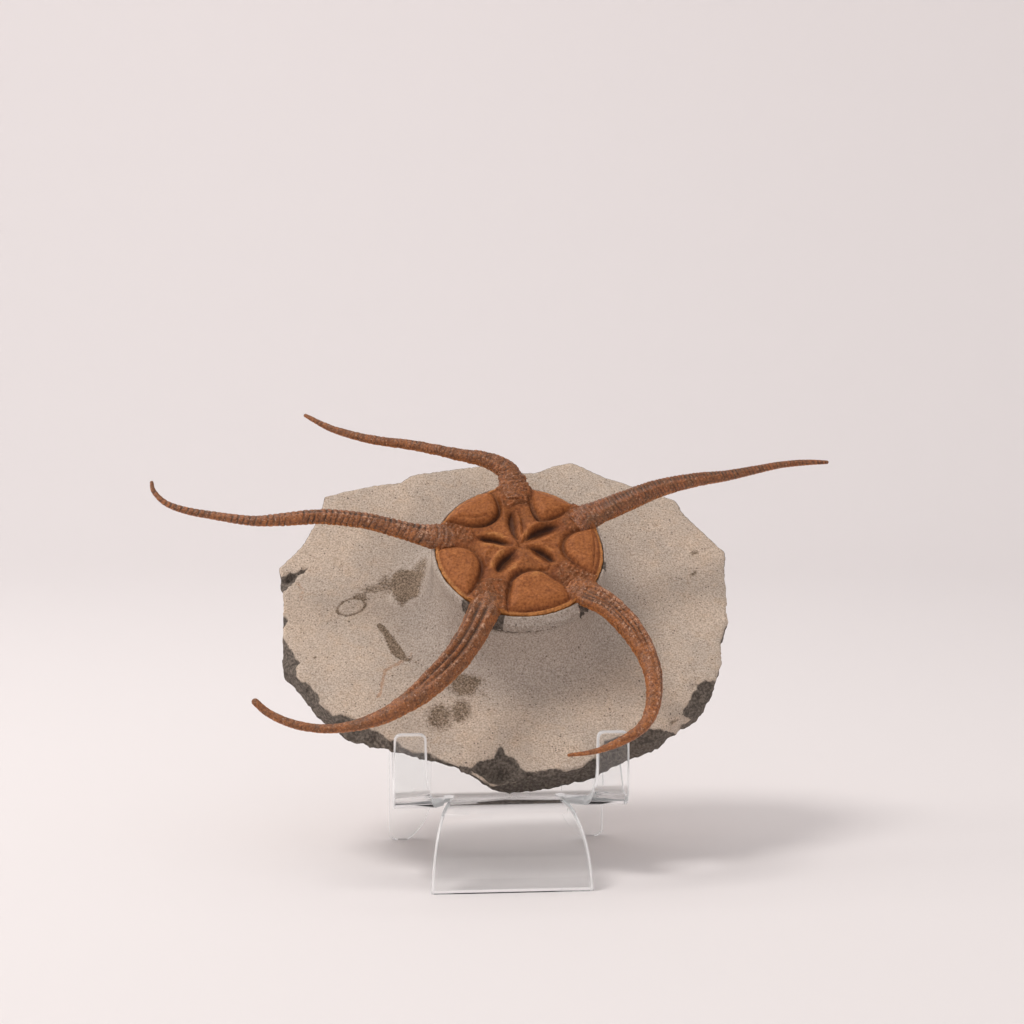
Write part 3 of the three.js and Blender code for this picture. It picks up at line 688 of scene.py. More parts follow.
stone = {
    "around": 552,  # points round it
    "faceRows": 88,  # from the pedestal's foot to the slab's edge
    "sideRows": (0.86, 0.7, 0.54, 0.38, 0.22, 0.1, 0.0),  # shares of the slab's height, downwards
    "backRows": (0.93, 0.84, 0.74, 0.62, 0.48, 0.32, 0.16),  # shares of the way out, inwards
    "face": 9.0,  # thickness of the slab
    "hollow": {"from": 36.0, "to": 50.0, "floor": 8.2},  # the carved hollow round the pedestal
    "carved": (30, 48),  # the carved grey, darkened as painted shade round the pedestal's foot, fades out between these radii
    "underDisc": (10, 20, 23.8),  # rings of points on the pedestal's top
    "pedestalTop": 26.95,
    "footHeight": 18,  # below this the pedestal shows the stains that run up from the face
    # the lip round the disc: the heights that it starts and is full at, then the radius of its inner
    # side and how far in it may come
    "lip": {"foot": 26.9, "full": 27.9, "inside": 24.4, "clear": 24.03},
    # the pedestal's side as radius and height, from inside the lip that holds the disc
    "pedestal": [
        (24.05, 26.95), (24.06, 28.5), (24.2, 28.95), (24.6, 28.9), (24.95, 28.2), (25, 26.6), (24.7, 25),
        (24.5, 23), (24.9, 18.5), (26.2, 13.8), (28.5, 10.6), (32, 8.8), (36, 8.2),
    ],
    # a ledge below the lip: directions, heights, how far it stands out and the height that it stops at
    "ledge": {"from": -120, "to": -32, "low": 22.8, "high": 28.0, "proud": 0.8, "proudTo": 28.2},
    # dark chips on the pedestal beside the arms: direction, half width in degrees, depth down
    "rootChips": [(-130, 3.2, 3.4), (-108, 4.5, 4.4), (-46, 6, 4.6), (164, 4, 5), (-14, 3, 3)],
    "breakSlope": 0.85,
    "breakReach": 4.0,  # how far to each side of a break's edge the stone follows it
    # For each millimetre that a point lies below the face, it seems to lie this much further left and down
    # when seen from the front: (x + left) / away, and down plus downPerHeight times y.
    "seen": {"left": 46, "away": 410, "down": 0.657, "downPerHeight": 0.0024},
    "overhang": {"from": -50, "to": -6, "reach": 4.6},  # along the lower left the face juts over the back
    "edgeGrit": (1.2, 0.3),
    # outline of the slab, clockwise from its upper left corner
    "outline": [
        (-51, 103), (-47, 104.6), (-43, 106), (-36, 108), (-28, 109), (-24, 112), (-14, 114), (-2, 116),
        (3, 113.5), (14, 113), (20, 116), (26, 117.4), (36, 111), (50, 104.5), (57, 101), (58.5, 96),
        (65, 86), (69.4, 80), (69, 76), (68, 70), (67.4, 62), (66.5, 56.5), (66.7, 53), (65, 50), (63.5, 46),
        (62.5, 37.5), (59.5, 30.5), (55, 23.5), (46.5, 18), (42.5, 14), (28, 8), (23, 4), (8, 0.8),
        (-0.5, 0), (-5, 1.8), (-14, 8.8), (-32, 15.5), (-46, 20.8), (-53, 26), (-57, 32.5), (-63, 41),
        (-62.8, 52), (-63, 66), (-64.4, 74.5), (-58, 83), (-53, 94),
    ],
    # freshly broken dark stone, as it lies when seen from the front, and pale parts spared inside it
    "breaks": {  # how deep each goes, and its outline
        "lower": (9.0, [
            (-62.6, 49.2), (-60.9, 45.8), (-59, 42), (-57.5, 40.1), (-58.6, 38.7), (-58.4, 35.9), (-57, 33.2),
            (-54.8, 32.2), (-53.3, 29.9), (-52.2, 27.6), (-52.2, 25.8), (-49.6, 23.5), (-47.5, 22.1),
            (-45.1, 22), (-42.1, 19.6), (-39.4, 17.4), (-35.3, 15.1), (-33.1, 12.9), (-31.8, 13.4),
            (-29.6, 11.2), (-26.9, 9.2), (-24.9, 9.3), (-22.6, 8.6), (-20.8, 7.4), (-18.2, 6), (-15.6, 4.3),
            (-12.9, 4.1), (-11.1, 3.8), (-9.9, 4.7), (-8.7, 6), (-6, 6.4), (-4.8, 6.9), (-4.1, 8.7),
            (-3, 10.7), (-2.3, 10), (-1.7, 7.7), (0.2, 6.8), (1.6, 4.9), (2.2, 3.3), (4, 1.9), (5.9, 1.9),
            (7.9, 3), (12.9, 2.9), (14.3, 2.3), (18.5, 3.2), (22.2, 6.6), (23.9, 7.1), (25.7, 12.1),
            (29.6, 13), (32.7, 14.7), (39, 16), (43, 15.1), (45.7, 13.7), (47, 9), (40, -20), (-80, -20),
            (-80, 49),
        ]),
        "right": (4.0, [
            (60.2, 32.2), (57.5, 31.8), (54, 31.3), (54.4, 29.2), (53.2, 28.9), (50.6, 24.2), (48.5, 21),
            (49.9, 19.3), (51.4, 17.4), (60, 18), (68, 30), (64, 33.5),
        ]),
        "upperLeft": (0.8, [
            (-66, 71), (-66, 66.2), (-62.6, 65.8), (-61.2, 67.4), (-59.6, 69.2), (-58.6, 71), (-57.2, 72.8),
            (-55.4, 74.6), (-57.4, 74), (-59, 72.6), (-60.6, 72.8), (-62, 71.6), (-66, 72),
        ]),
        "left": (0.8, [(-64, 57.6), (-62.3, 57.1), (-61.1, 55.2), (-61.7, 53), (-64, 52.6)]),
    },
    "spared": [
        [(-11.2, 2.4), (-9.4, 1.3), (-7.6, -0.3), (-6.2, -1.3), (-7.1, -1.5), (-8.9, 0.1), (-11.2, 1.6)],
        [(-6.4, -1.7), (-1.9, -1.5), (2, 0), (5.1, 1.3), (5.2, 1), (2.1, -0.4), (-1.8, -2), (-6.3, -2.1)],
    ],
    # softer damage on the face: middle, half length, half width, turn, depth
    "hollows": [
        ((-29, 66), 10, 5, 18, 0.5), ((-49.6, 23.2), 2.6, 1.3, -42, 1.6), ((53.2, 30), 2.6, 1.6, 60, 1.4),
        ((60, 73), 7, 4, 30, 0.4), ((49.4, 90.6), 1.0, 0.7, 0, 0.7), ((50.8, 88.6), 0.8, 0.6, 0, 0.5),
    ],
    # dark organic stains, and painted shade at the pedestal's left foot: strength, softness of the edge,
    # outline
    "stains": [
        # painted shade to the left of the crease at the pedestal's left foot
        (0.65, 1.2, [
            (-20.4, 77.6), (-21.9, 78.2), (-24.4, 75.6), (-26, 70.2), (-26.4, 64.4), (-24, 62.9),
            (-22.6, 67.4), (-21.2, 72),
        ]),
        (1.0, 1.5, [
            (-26.3, 73.6), (-21.7, 72.8), (-22.7, 67.8), (-24, 63.3), (-26.7, 62.2), (-28.5, 59.6),
            (-29.8, 61.9), (-31.2, 64.9), (-32.4, 68.4), (-30.2, 72.7),
        ]),
        (0.62, 1.5, [
            (-31, 71.6), (-33.7, 72.1), (-36.1, 68.7), (-39, 68), (-41.1, 66.1), (-38.8, 64.6), (-35.9, 65.3),
            (-33.2, 66), (-31.2, 64.9),
        ]),
        (0.75, 1.0, [(-39.4, 62), (-37.9, 62.9), (-39, 65), (-42, 64.6), (-43.4, 62.6), (-41, 62.6)]),
        (1.0, 0.5, [
            (-35.8, 53.5), (-35.2, 54), (-34, 53.4), (-32.2, 50.5), (-30.5, 47.6), (-27.9, 43), (-28.4, 40.7),
            (-31.1, 41.9), (-32.4, 44.2), (-33.3, 47.3), (-34.1, 49.9), (-35.6, 52),
        ]),
        (1.0, 0.4, [(-28.6, 41.2), (-26.6, 41.6), (-25.8, 42.8), (-26.6, 40.6), (-28.4, 40.5)]),
        (0.9, 0.4, [(-25.5, 40.4), (-24.9, 40.5), (-24.7, 39.9), (-25.2, 39.6)]),
        (0.85, 1.8, [(-15.5, 34.6), (-11, 35.2), (-6.4, 33.4), (-8, 30.6), (-10.4, 27.8), (-15, 29.2)]),
        (0.75, 2.0, [(-16.5, 20.5), (-15, 26), (-11.2, 26.5), (-10, 22.5), (-12, 19), (-14.5, 18.2)]),
        (0.5, 1.6, [(-18.5, 33), (-15, 34.5), (-14, 31), (-16.5, 29.5)]),
        (0.8, 2.2, [(-22.5, 17.5), (-22.3, 22.5), (-19.5, 25), (-16, 23.5), (-15.5, 19.5), (-18, 16)]),
        (0.9, 0.5, [(-6, 23.2), (-5.4, 23.8), (-4.8, 23.2), (-5.4, 22.6)]),
        (0.6, 0.7, [(-7.8, 29.6), (-6, 28.6), (-5, 27.4), (-6.6, 27.8), (-8, 28.8)]),
        (0.9, 0.4, [(-54, 41.5), (-53.5, 42.1), (-52.9, 41.5), (-53.5, 40.9)]),
        (0.7, 0.7, [(44.5, 17.8), (47.7, 18.8), (46.4, 15.7)]),
        (0.8, 0.8, [(58, 79.4), (60.6, 80.6), (61.2, 79.4), (59, 78.6)]),
        (0.8, 0.8, [(57, 71), (59.4, 73), (59.6, 72), (57.8, 70.4)]),
    ],
    "shell": {"middle": (-43.1, 59.8), "long": 4.2, "short": 2.6, "turn": 28},  # another fossil's outline
    # iron-stained hair cracks: strength, path
    "cracks": [
        (0.9, [(-21.1, 55.1), (-23.1, 49.3), (-25.2, 43.9)]),
        (1.0, [(-29.3, 40.2), (-33.9, 36.8), (-34.4, 32.9), (-35.8, 27.5)]),
        (0.7, [(-25.2, 43.9), (-26.6, 42.4), (-29.3, 40.2)]),
        (0.7, [(-59, 69), (-57, 66), (-57.6, 62.6)]),
        (0.6, [(48, 66), (53, 69), (57.5, 71)]),
    ],
    "colours": {
        "base": "#dbcab9", "grey": "#cfc1b3", "warm": "#d9bfa4", "carved": "#c1b6ac", "grit": "#cbc6c1",
        "grains": "#6a5f55", "pits": "#665b51", "stain": "#93806c", "stainGrain": "#584a3d",
        "rust": "#b57f50", "dark": "#57504a", "darkPale": "#80766c", "darkDust": "#94887d",
    },
    # drifts of colour, blotches, chips, and the stone's grit, which is about 0.1 mm in the real one and
    # is drawn as coarse as it needs to show
    "lumps": {"clouds": (16, 3), "blotches": (3.4, 4), "chips": (0.8, 3), "grit": (0.46, 3)},  # size, detail
    # gap between specks, share of places with one, largest radius
    "specks": {"grains": (0.85, 0.5, 0.25), "pits": (2.4, 0.3, 0.36)},
    "speckStrength": 0.8,
    "bump": (0.6, 0.3),
    "finish": {"Roughness": 0.92, "IOR": 1.5, "Specular IOR Level": 0.2},
}


def reachOf(outline, turn):
    # distance from the star's axis to the outline in each direction
    corners = np.array(outline, float) - np.array(pose["starCentre"])
    rays = np.column_stack([np.cos(turn), np.sin(turn)])
    reach = np.zeros(len(turn))
    for a, b in zip(corners, np.roll(corners, -1, 0)):
        side = b - a
        cross = rays[:, 0] * side[1] - rays[:, 1] * side[0]
        cross = np.where(np.abs(cross) < 1e-9, 1e-9, cross)
        along = (a[0] * side[1] - a[1] * side[0]) / cross
        share = (a[0] * rays[:, 1] - a[1] * rays[:, 0]) / cross
        hit = (along > 0) & (share >= 0) & (share <= 1)
        reach = np.where(hit, np.maximum(reach, along), reach)
    return reach


def onEllipse(points, middle, halfLong, halfShort, turn):
    # 0 in an ellipse's middle and 1 on its edge
    off = points - np.array(middle)
    c, s = cos(radians(turn)), sin(radians(turn))
    return np.hypot((off[:, 0] * c + off[:, 1] * s) / halfLong, (off[:, 1] * c - off[:, 0] * s) / halfShort)


def seenOnFace(points, heights):
    # where each place seems to lie on the slab's face, looked at from the front
    seen = stone["seen"]
    across = (points[:, 0] + seen["left"]) / seen["away"]
    shift = np.column_stack([across, seen["down"] + seen["downPerHeight"] * points[:, 1]])
    return points - shift * (stone["face"] - heights)[:, None]


def brokenAt(seen):
    # how far inside the dark broken stone each place is, in millimetres, and negative outside it
    reach = stone["breakReach"]
    inside = np.full(len(seen), -reach)
    for deep, outline in stone["breaks"].values():
        inside = np.maximum(inside, np.minimum(-fromOutline(seen, np.array(outline, float)), deep))
    for outline in stone["spared"]:
        inside = np.minimum(inside, fromOutline(seen, np.array(outline, float)))
    wander = 0.45 * grain(seen, 2.6, 3, 13) + 0.4 * grain(seen, 1.1, 3, 18)
    return np.clip(inside + wander, -reach, reach)


def stainAt(seen):
    stain = np.zeros(len(seen))
    for strength, soft, outline in stone["stains"]:
        away = fromOutline(seen, smoothPath(outline, closed=True, step=1.0))
        stain = np.maximum(stain, strength * fade(-away, -soft, soft))
    return stain


def stoneFace(points):
    # height of the slab's face and how broken, stained and rusty it is
    fromStar = np.hypot(*(points - np.array(pose["starCentre"])).T)
    hollow = stone["hollow"]
    rising = fade(fromStar, hollow["from"], hollow["to"])
    height = hollow["floor"] + (stone["face"] - hollow["floor"]) * rising
    height += 0.22 * grain(points, 22, 2, 11) + 0.1 * grain(points, 4, 3, 12)
    broken = brokenAt(points)
    facets = np.abs(grain(points, 5.5, 2, 14)) * 1.8 + 0.4 * grain(points, 1.3, 3, 15)
    drop = np.maximum(broken, 0) * stone["breakSlope"] + fade(broken, -0.1, 0.3) * 0.35
    height -= drop + fade(broken, 0, 1) * facets
    for middle, halfLong, halfShort, turn, depth in stone["hollows"]:
        height -= depth * bump(onEllipse(points, middle, halfLong, halfShort, turn), 0.8)
    stain = stainAt(points)
    mark = stone["shell"]
    off = onEllipse(points, mark["middle"], mark["long"], mark["short"], mark["turn"])
    stain = np.maximum(stain, bump(off - 1.02, 0.15))
    stain = np.maximum(stain * (1 - 0.8 * bump(off - 0.72, 0.2)), 0.45 * fade(0.5 - off, 0, 0.3))
    height -= 0.2 * bump(off - 1.02, 0.12) - 0.12 * bump(off, 0.7)
    rust = np.zeros(len(points))
    wander = np.column_stack([grain(points, 3, 3, 16), grain(points, 3, 3, 17)])
    for strength, path in stone["cracks"]:
        away = fromPath(points + 0.6 * wander, np.array(path, float))[0]
        rust = np.maximum(rust, strength * bump(away, 0.8))
    return height, broken, stain, rust


def makeStone():
    around = stone["around"]
    turn, directions = spokes(around)
    degrees = np.degrees(turn)
    centre = np.array(pose["starCentre"])
    none = np.zeros(around)
    unbroken = none - stone["breakReach"]
    rings = []  # each is (points, broken, stain, rust, carved)

    # the top under the disc
    for radius in stone["underDisc"]:
        top = np.column_stack([centre + directions * radius, np.full(around, stone["pedestalTop"])])
        rings.append((top, unbroken, none, none, none))

    # the pedestal's side, with the lip round the disc, a ledge below it and chips beside the arms
    side = smoothPath(stone["pedestal"], step=0.01)
    lengths = lengthAlong(side)
    lipEnd, ledgeEnd = 3.4, 8.6  # down the side, with the closest rows between them
    stations = [np.linspace(0, lipEnd, 12)[:-1], np.linspace(lipEnd, ledgeEnd, 25)[:-1]]
    stations = np.concatenate([*stations, np.linspace(ledgeEnd, lengths[-1], 34)])
    ledge, lip = stone["ledge"], stone["lip"]
    signed = (degrees + 180) % 360 - 180
    span = fade(signed, ledge["from"], ledge["from"] + 8) * fade(-signed, -ledge["to"], -ledge["to"] + 10)
    ledgeLow = ledge["low"] + 0.5 * grain(directions * 24, 7, 2, 23) + 0.5 * np.cos(turn + radians(60))
    lipLow = 0.35 * grain(directions * 24, 5, 3, 28) - 0.3 * fade(np.cos(turn - radians(90)), 0.2, 0.9)
    for station in stations:
        r = np.interp(station, lengths, side[:, 0])
        h = np.interp(station, lengths, side[:, 1])
        base = np.column_stack([directions * r, np.full(around, h)])
        out = 0.4 * grain(base, 14, 2, 22) * fade(lip["foot"] - h, 0, 4) + 0.14 * grain(base, 2.5, 3, 21)
        inLedge = span * fade(h - ledgeLow, 0, 0.6) * fade(ledge["high"] - h, -0.4, 0.8)
        crease = span * bump(h - ledgeLow + 1.15, 0.42)
        gritty = 0.9 * np.abs(grain(base, 1.3, 3, 24)) + 0.4 * grain(base, 0.7, 2, 25)
        out += inLedge * (ledge["proud"] * fade(ledge["proudTo"] - h, 0, 1.2) + gritty) - 0.9 * crease
        chip = np.zeros(around)
        for direction, halfWidth, depth in stone["rootChips"]:
            off = np.abs((degrees - direction + 180) % 360 - 180) / halfWidth
            chip = np.maximum(chip, fade(1.25 - off, 0, 0.4) * fade(h - (lip["foot"] - depth), -0.6, 0.6))
        chip = fade(chip + 0.35 * grain(base, 1.4, 3, 26), 0.4, 0.65)
        out += chip * 0.45 * grain(base, 1.5, 2, 27)
        reach = r + out
        if h > lip["foot"]:
            reach = np.maximum(np.where(r < lip["inside"], r, reach), lip["clear"])
        height = h + fade(h, lip["foot"], lip["full"]) * lipLow
        points = np.column_stack([centre + directions * reach[:, None], height])
        # painted shade in the crease under the ledge, laid in through the stain and broken colours
        stain = 0.9 * crease
        if h < stone["footHeight"]:
            stain = np.maximum(stain, stainAt(seenOnFace(points[:, :2], points[:, 2])))
        broken = unbroken + np.maximum(chip * 8, crease * 7)
        rings.append((points, broken, stain, none, none + 1 - fade(r, *stone["carved"])))

    # the slab's face, out to the outline
    reach = reachOf(stone["outline"], turn)
    gritSize, gritDepth = stone["edgeGrit"]
    atEdge = directions * reach[:, None]
    ragged = grain(atEdge, gritSize, 3, 31)
    reach = reach - 0.35 + np.clip(gritDepth * ragged + 0.2 * grain(atEdge, 6, 2, 35), -1, 0.3)
    start = stone["hollow"]["from"]
    over, across = stone["overhang"], centre[0] + directions[:, 0] * reach
    jut = over["reach"] * fade(across, over["from"], over["from"] + 9)
    jut = jut * fade(-across, -over["to"] - 7, -over["to"]) * fade(-np.sin(turn), 0.2, 0.6)
    reach = reach + jut
    for share in np.linspace(0, 1, stone["faceRows"])[1:]:
        at = start + (reach - start) * share
        points = centre + directions * at[:, None]
        height, broken, stain, rust = stoneFace(points)
        edge = fade(at - reach, -0.7, 0)
        height = np.maximum(height - 0.4 * edge, 1.6 + 0.4 * ragged)
        broken = np.maximum(broken, unbroken + 5 * edge * fade(np.sin(turn), -0.1, 0.2))
        points = np.column_stack([points, height])
        rings.append((points, broken, stain, rust, 1 - fade(at, *stone["carved"])))

    # the broken side, dark except where the front sees it pale, and round to the flat back
    top = rings[-1][0][:, 2]
    turned = 3.5 * fade(np.sin(turn) + 0.3 * grain(directions * 40, 9, 4, 36), -0.1, 0.15)
    for share in stone["sideRows"]:
        height = top * share
        base = np.column_stack([directions * (reach - jut * (1 - share))[:, None], height])
        out = 0.4 * grain(base, 2.4, 4, 32) - 0.4 * np.abs(grain(base, 7, 2, 33)) - 0.2
        at = reach - jut * (1 - share) + np.minimum(out, 0) - (0.9 if share == 0 else 0.0)
        points = np.column_stack([centre + directions * at[:, None], height])
        behind = fade(0.75 - share + 0.25 * grain(base, 5, 4, 37), 0, 0.25) * fade(np.sin(turn), -0.8, -0.5)
        hidden = np.maximum(turned, 3.5 * behind) - 1
        broken = np.maximum(brokenAt(seenOnFace(points[:, :2], height)), hidden)
        rings.append((points, broken, none, none, none))
    for share in stone["backRows"]:
        points = centre + directions * ((reach - jut - 1) * share)[:, None]
        height = np.clip(0.2 + 0.35 * grain(points, 6, 3, 34), 0, 0.8)
        rings.append((np.column_stack([points, height]), unbroken, none, none, none))

    points, *values = (np.array(column) for column in zip(*rings))
    fields = dict(zip(("broken", "stain", "rust", "carved"), values))
    first = [*centre, stone["pedestalTop"]]
    return skin("slabAndPedestal", points, first, [*centre, 0.2], stoneOrigin, fields)


def makeLimestone():
    # Fine-grained limestone, cut down with an air abrasive: matt and pale, peppered with dark grains.
    # Where it was knocked off with a hammer it is dark, rough and never smoothed.
    fields = ("broken", "stain", "rust", "carved")
    m, given = newMaterial("limestone, air-abraded and hammer-broken", fields, stone["lumps"])
    colours = stone["colours"]
    specks = {}
    for key, (gap, number, largest) in stone["specks"].items():
        cells = addNode(m, "TexVoronoi", {}, {"Vector": given["place"], "Scale": 1 / gap})
        lot = addNode(m, "SeparateColor", {}, {0: cells.node.outputs["Color"]})  # a random share for each
        links = {"Value": lot, "From Max": number, "To Min": largest / gap, "To Max": 0.02}
        size = addNode(m, "MapRange", {}, links)
        specks[key] = addNode(m, "Math", {"operation": "LESS_THAN"}, {0: cells, 1: size})

    # the pale stone
    rusty = addNode(m, "Math", {"operation": "MULTIPLY_ADD"}, {0: given["chips"], 1: 1.1, 2: given["rust"]})
    colour = layOver(m, colours["base"], colours["grey"], given["clouds"], 0.4, 0.6)
    colour = layOver(m, colour, colours["warm"], given["blotches"], 0.5, 0.7, 0.3)
    # greyer where carved round the pedestal, and darker there as painted shade
    colour = layOver(m, colour, colours["carved"], given["carved"], 0.0, 1.0, 0.9)
    colour = layOver(m, colour, colours["rust"], rusty, 1.05, 1.5, 0.5)
    colour = darken(m, colour, colours["grit"], given["grit"], 0.36, 0.66)

    # stains soak in unevenly, leaving the grit showing
    soaked = addNode(m, "Math", {"operation": "MULTIPLY_ADD"}, {0: given["chips"], 1: 1.3, 2: given["stain"]})
    stained = layOver(m, colours["stain"], colours["stainGrain"], given["grit"], 0.6, 0.4)
    colour = layOver(m, colour, stained, soaked, 0.9, 1.4, 0.92)
    for key, speck in specks.items():
        share = addNode(m, "Math", {"operation": "MULTIPLY"}, {0: speck, 1: stone["speckStrength"]})
        colour = addNode(m, "Mix", {"data_type": "RGBA"}, {0: share, 6: colour, 7: colours[key]}, 2)

    # the dark broken stone, with pale dust on its grit
    fresh = layOver(m, colours["dark"], colours["darkPale"], given["chips"], 0.42, 0.66)
    fresh = layOver(m, fresh, colours["darkDust"], given["grit"], 0.6, 0.72, 0.5)
    torn = addNode(m, "Math", {"operation": "MULTIPLY_ADD"}, {0: given["grit"], 1: 0.7, 2: given["broken"]})
    torn = addNode(m, "MapRange", {}, {"Value": torn, "From Min": 0.22, "From Max": 0.5})
    colour = addNode(m, "Mix", {"data_type": "RGBA"}, {0: torn, 6: colour, 7: fresh}, 2)

    sunk = addNode(m, "Math", {"operation": "MULTIPLY_ADD"}, {0: specks["pits"], 1: -0.9, 2: given["grit"]})
    coarse = addNode(m, "Math", {"operation": "MULTIPLY"}, {0: torn, 1: given["chips"]})
    relief = addNode(m, "Math", {"operation": "MULTIPLY_ADD"}, {0: coarse, 1: 2.5, 2: sunk})
    return finishMaterial(m, {"Base Color": colour, **stone["finish"]}, relief, *stone["bump"])


slab = makeStone()
slab.data.materials.append(makeLimestone())
print("stone made,", len(slab.data.polygons), "faces")

easel = {
    "sheet": 2.5,
    "width": 63.5,
    "shelfTop": 21.0,
    "restLength": 59.0,  # from the shelf up the slope to where the top bend's two sides would meet
    "rearFoot": 43.0,  # behind the stone's lower edge
    "topBend": 4.0,
    "shelfBend": 4.0,
    "hookBend": 5.0,
    "hookFront": 8.0,
    "hookHeight": 18.6,
    "hookWidth": 8.8,
    "hookCorner": 2.2,
    "hookFlare": {"width": 3.0, "height": 11.3, "pull": 0.6},  # widens each hook towards its foot
    "notchBack": 0.8,  # where the cuts between tongue and hooks end, behind the stone's lower edge
    "notchEnd": 3.0,  # width of their round ends
    "tongueTop": 27.4,
    "tongueFoot": 42.4,
    # half way between tongue and hook: distances beyond the fork, and how far each is from the middle
    "tongueGap": ((0, 11, 35), (17.3, 20.4, 22.1)),
    "tongueBulge": 3.0,  # how far its sides are drawn outward
    "tongueAside": -1.3,  # off the middle
    "tongueStart": 3.5,
    "legWidth": 12.4,
    "legCut": {"width": 7.0, "height": 11.0, "bulge": 3.5, "pull": 1.5},
    "footCorner": 3.0,
    "archHeight": 33.0,
    "archCorner": 12.0,
    "softEdge": 0.6,  # rounding of the flame-polished edges in front
    "crispEdge": 0.3,
    "sharp": 50,  # faces that meet at more than this have a sawn edge between them
    "clearance": 0.3,
    "tongueFootInFront": 24.5,  # the front of the easel's box before the stone's lower edge
    "finishes": {
        "clear cast acrylic sheet, bent": {
            "Base Color": "#fdfefe", "Roughness": 0.012, "IOR": 1.49, "Transmission Weight": 1.0,
        },
        "clear cast acrylic, sawn and flame-polished edge": {
            "Base Color": "#dcdbdb", "Roughness": 0.2, "IOR": 1.49,
            "Transmission Weight": 0.55,  # the rest of the light is scattered
            "Emission Color": "#dcdbdb", "Emission Strength": 0.25,  # painted glow, so that the edges give off light of their own
        },
    },
}


def bentLine(corners, facet=0.09):
    # a path through corners (y, z, bend radius), with each bend made of short facets
    path = []
    for i, (y, z, radius) in enumerate(corners):
        here = np.array([y, z])
        if radius == 0:
            path.append(here)
            continue
        before = np.array(corners[i - 1][:2]) - here
        after = np.array(corners[i + 1][:2]) - here
        before /= np.linalg.norm(before)
        after /= np.linalg.norm(after)
        halfAngle = np.arccos(before @ after) / 2
        inward = (before + after) / np.linalg.norm(before + after)
        centre = here + inward * radius / sin(halfAngle)
        start = here + before * radius / tan(halfAngle) - centre
        end = here + after * radius / tan(halfAngle) - centre
        sweep = np.arctan2(start[0] * end[1] - start[1] * end[0], start @ end)
        steps = int(np.ceil(abs(sweep) / facet))
        for k in range(steps + 1):
            c, s = cos(sweep * k / steps), sin(sweep * k / steps)
            path.append(centre + np.array([start[0] * c - start[1] * s, start[0] * s + start[1] * c]))
    return np.array(path)


def corner(start, pull, end, steps=8):
    # a soft corner from start to end, drawn towards the pull point
    t = np.linspace(0, 1, steps + 1)[:, None]
    start, pull, end = (np.array(p, float) for p in (start, pull, end))
    return ((1 - t) ** 2 * start + 2 * t * (1 - t) * pull + t**2 * end).tolist()


def applyModifiers(piece):
    applied = bpy.data.meshes.new_from_object(piece.evaluated_get(bpy.context.evaluated_depsgraph_get()))
    piece.modifiers.clear()
    piece.data = applied


def roundEdges(piece, originX, originY):
    # rounds the sawn edges, most where a flame has polished them
    e = easel
    hookFoot = e["shelfTop"] - e["sheet"] / 2 + e["hookBend"]
    mesh = bmesh.new()
    mesh.from_mesh(piece.data)
    weights = mesh.edges.layers.float.new("bevel_weight_edge")
    for edge in mesh.edges:
        if len(edge.link_faces) == 2 and edge.calc_face_angle() > radians(e["sharp"]):
            middle = (edge.verts[0].co + edge.verts[1].co) / 2
            inFront = middle.y < originY - (e["hookFront"] - 2) * mm
            onHook = middle.z > (hookFoot + 0.3) * mm
            onTongueSide = 0.2 * mm < middle.z < (e["shelfTop"] - e["sheet"] - 0.1) * mm
            outerEdge = abs(middle.x - originX) > (e["width"] / 2 - 0.1) * mm
            if inFront and (onHook or onTongueSide and not outerEdge):
                edge[weights] = 1.0
            elif outerEdge:
                edge[weights] = e["crispEdge"] / e["softEdge"]
    mesh.to_mesh(piece.data)
    mesh.free()
    edges = piece.modifiers.new("edges", "BEVEL")
    edges.width = e["softEdge"] * mm
    edges.segments = 4
    edges.limit_method = "WEIGHT"
    edges.use_clamp_overlap = False
    edges.material = 1
    piece.data.shade_smooth()
    shading = piece.modifiers.new("shading", "WEIGHTED_NORMAL")  # keeps the broad faces optically flat
    shading.weight = 50
    applyModifiers(piece)


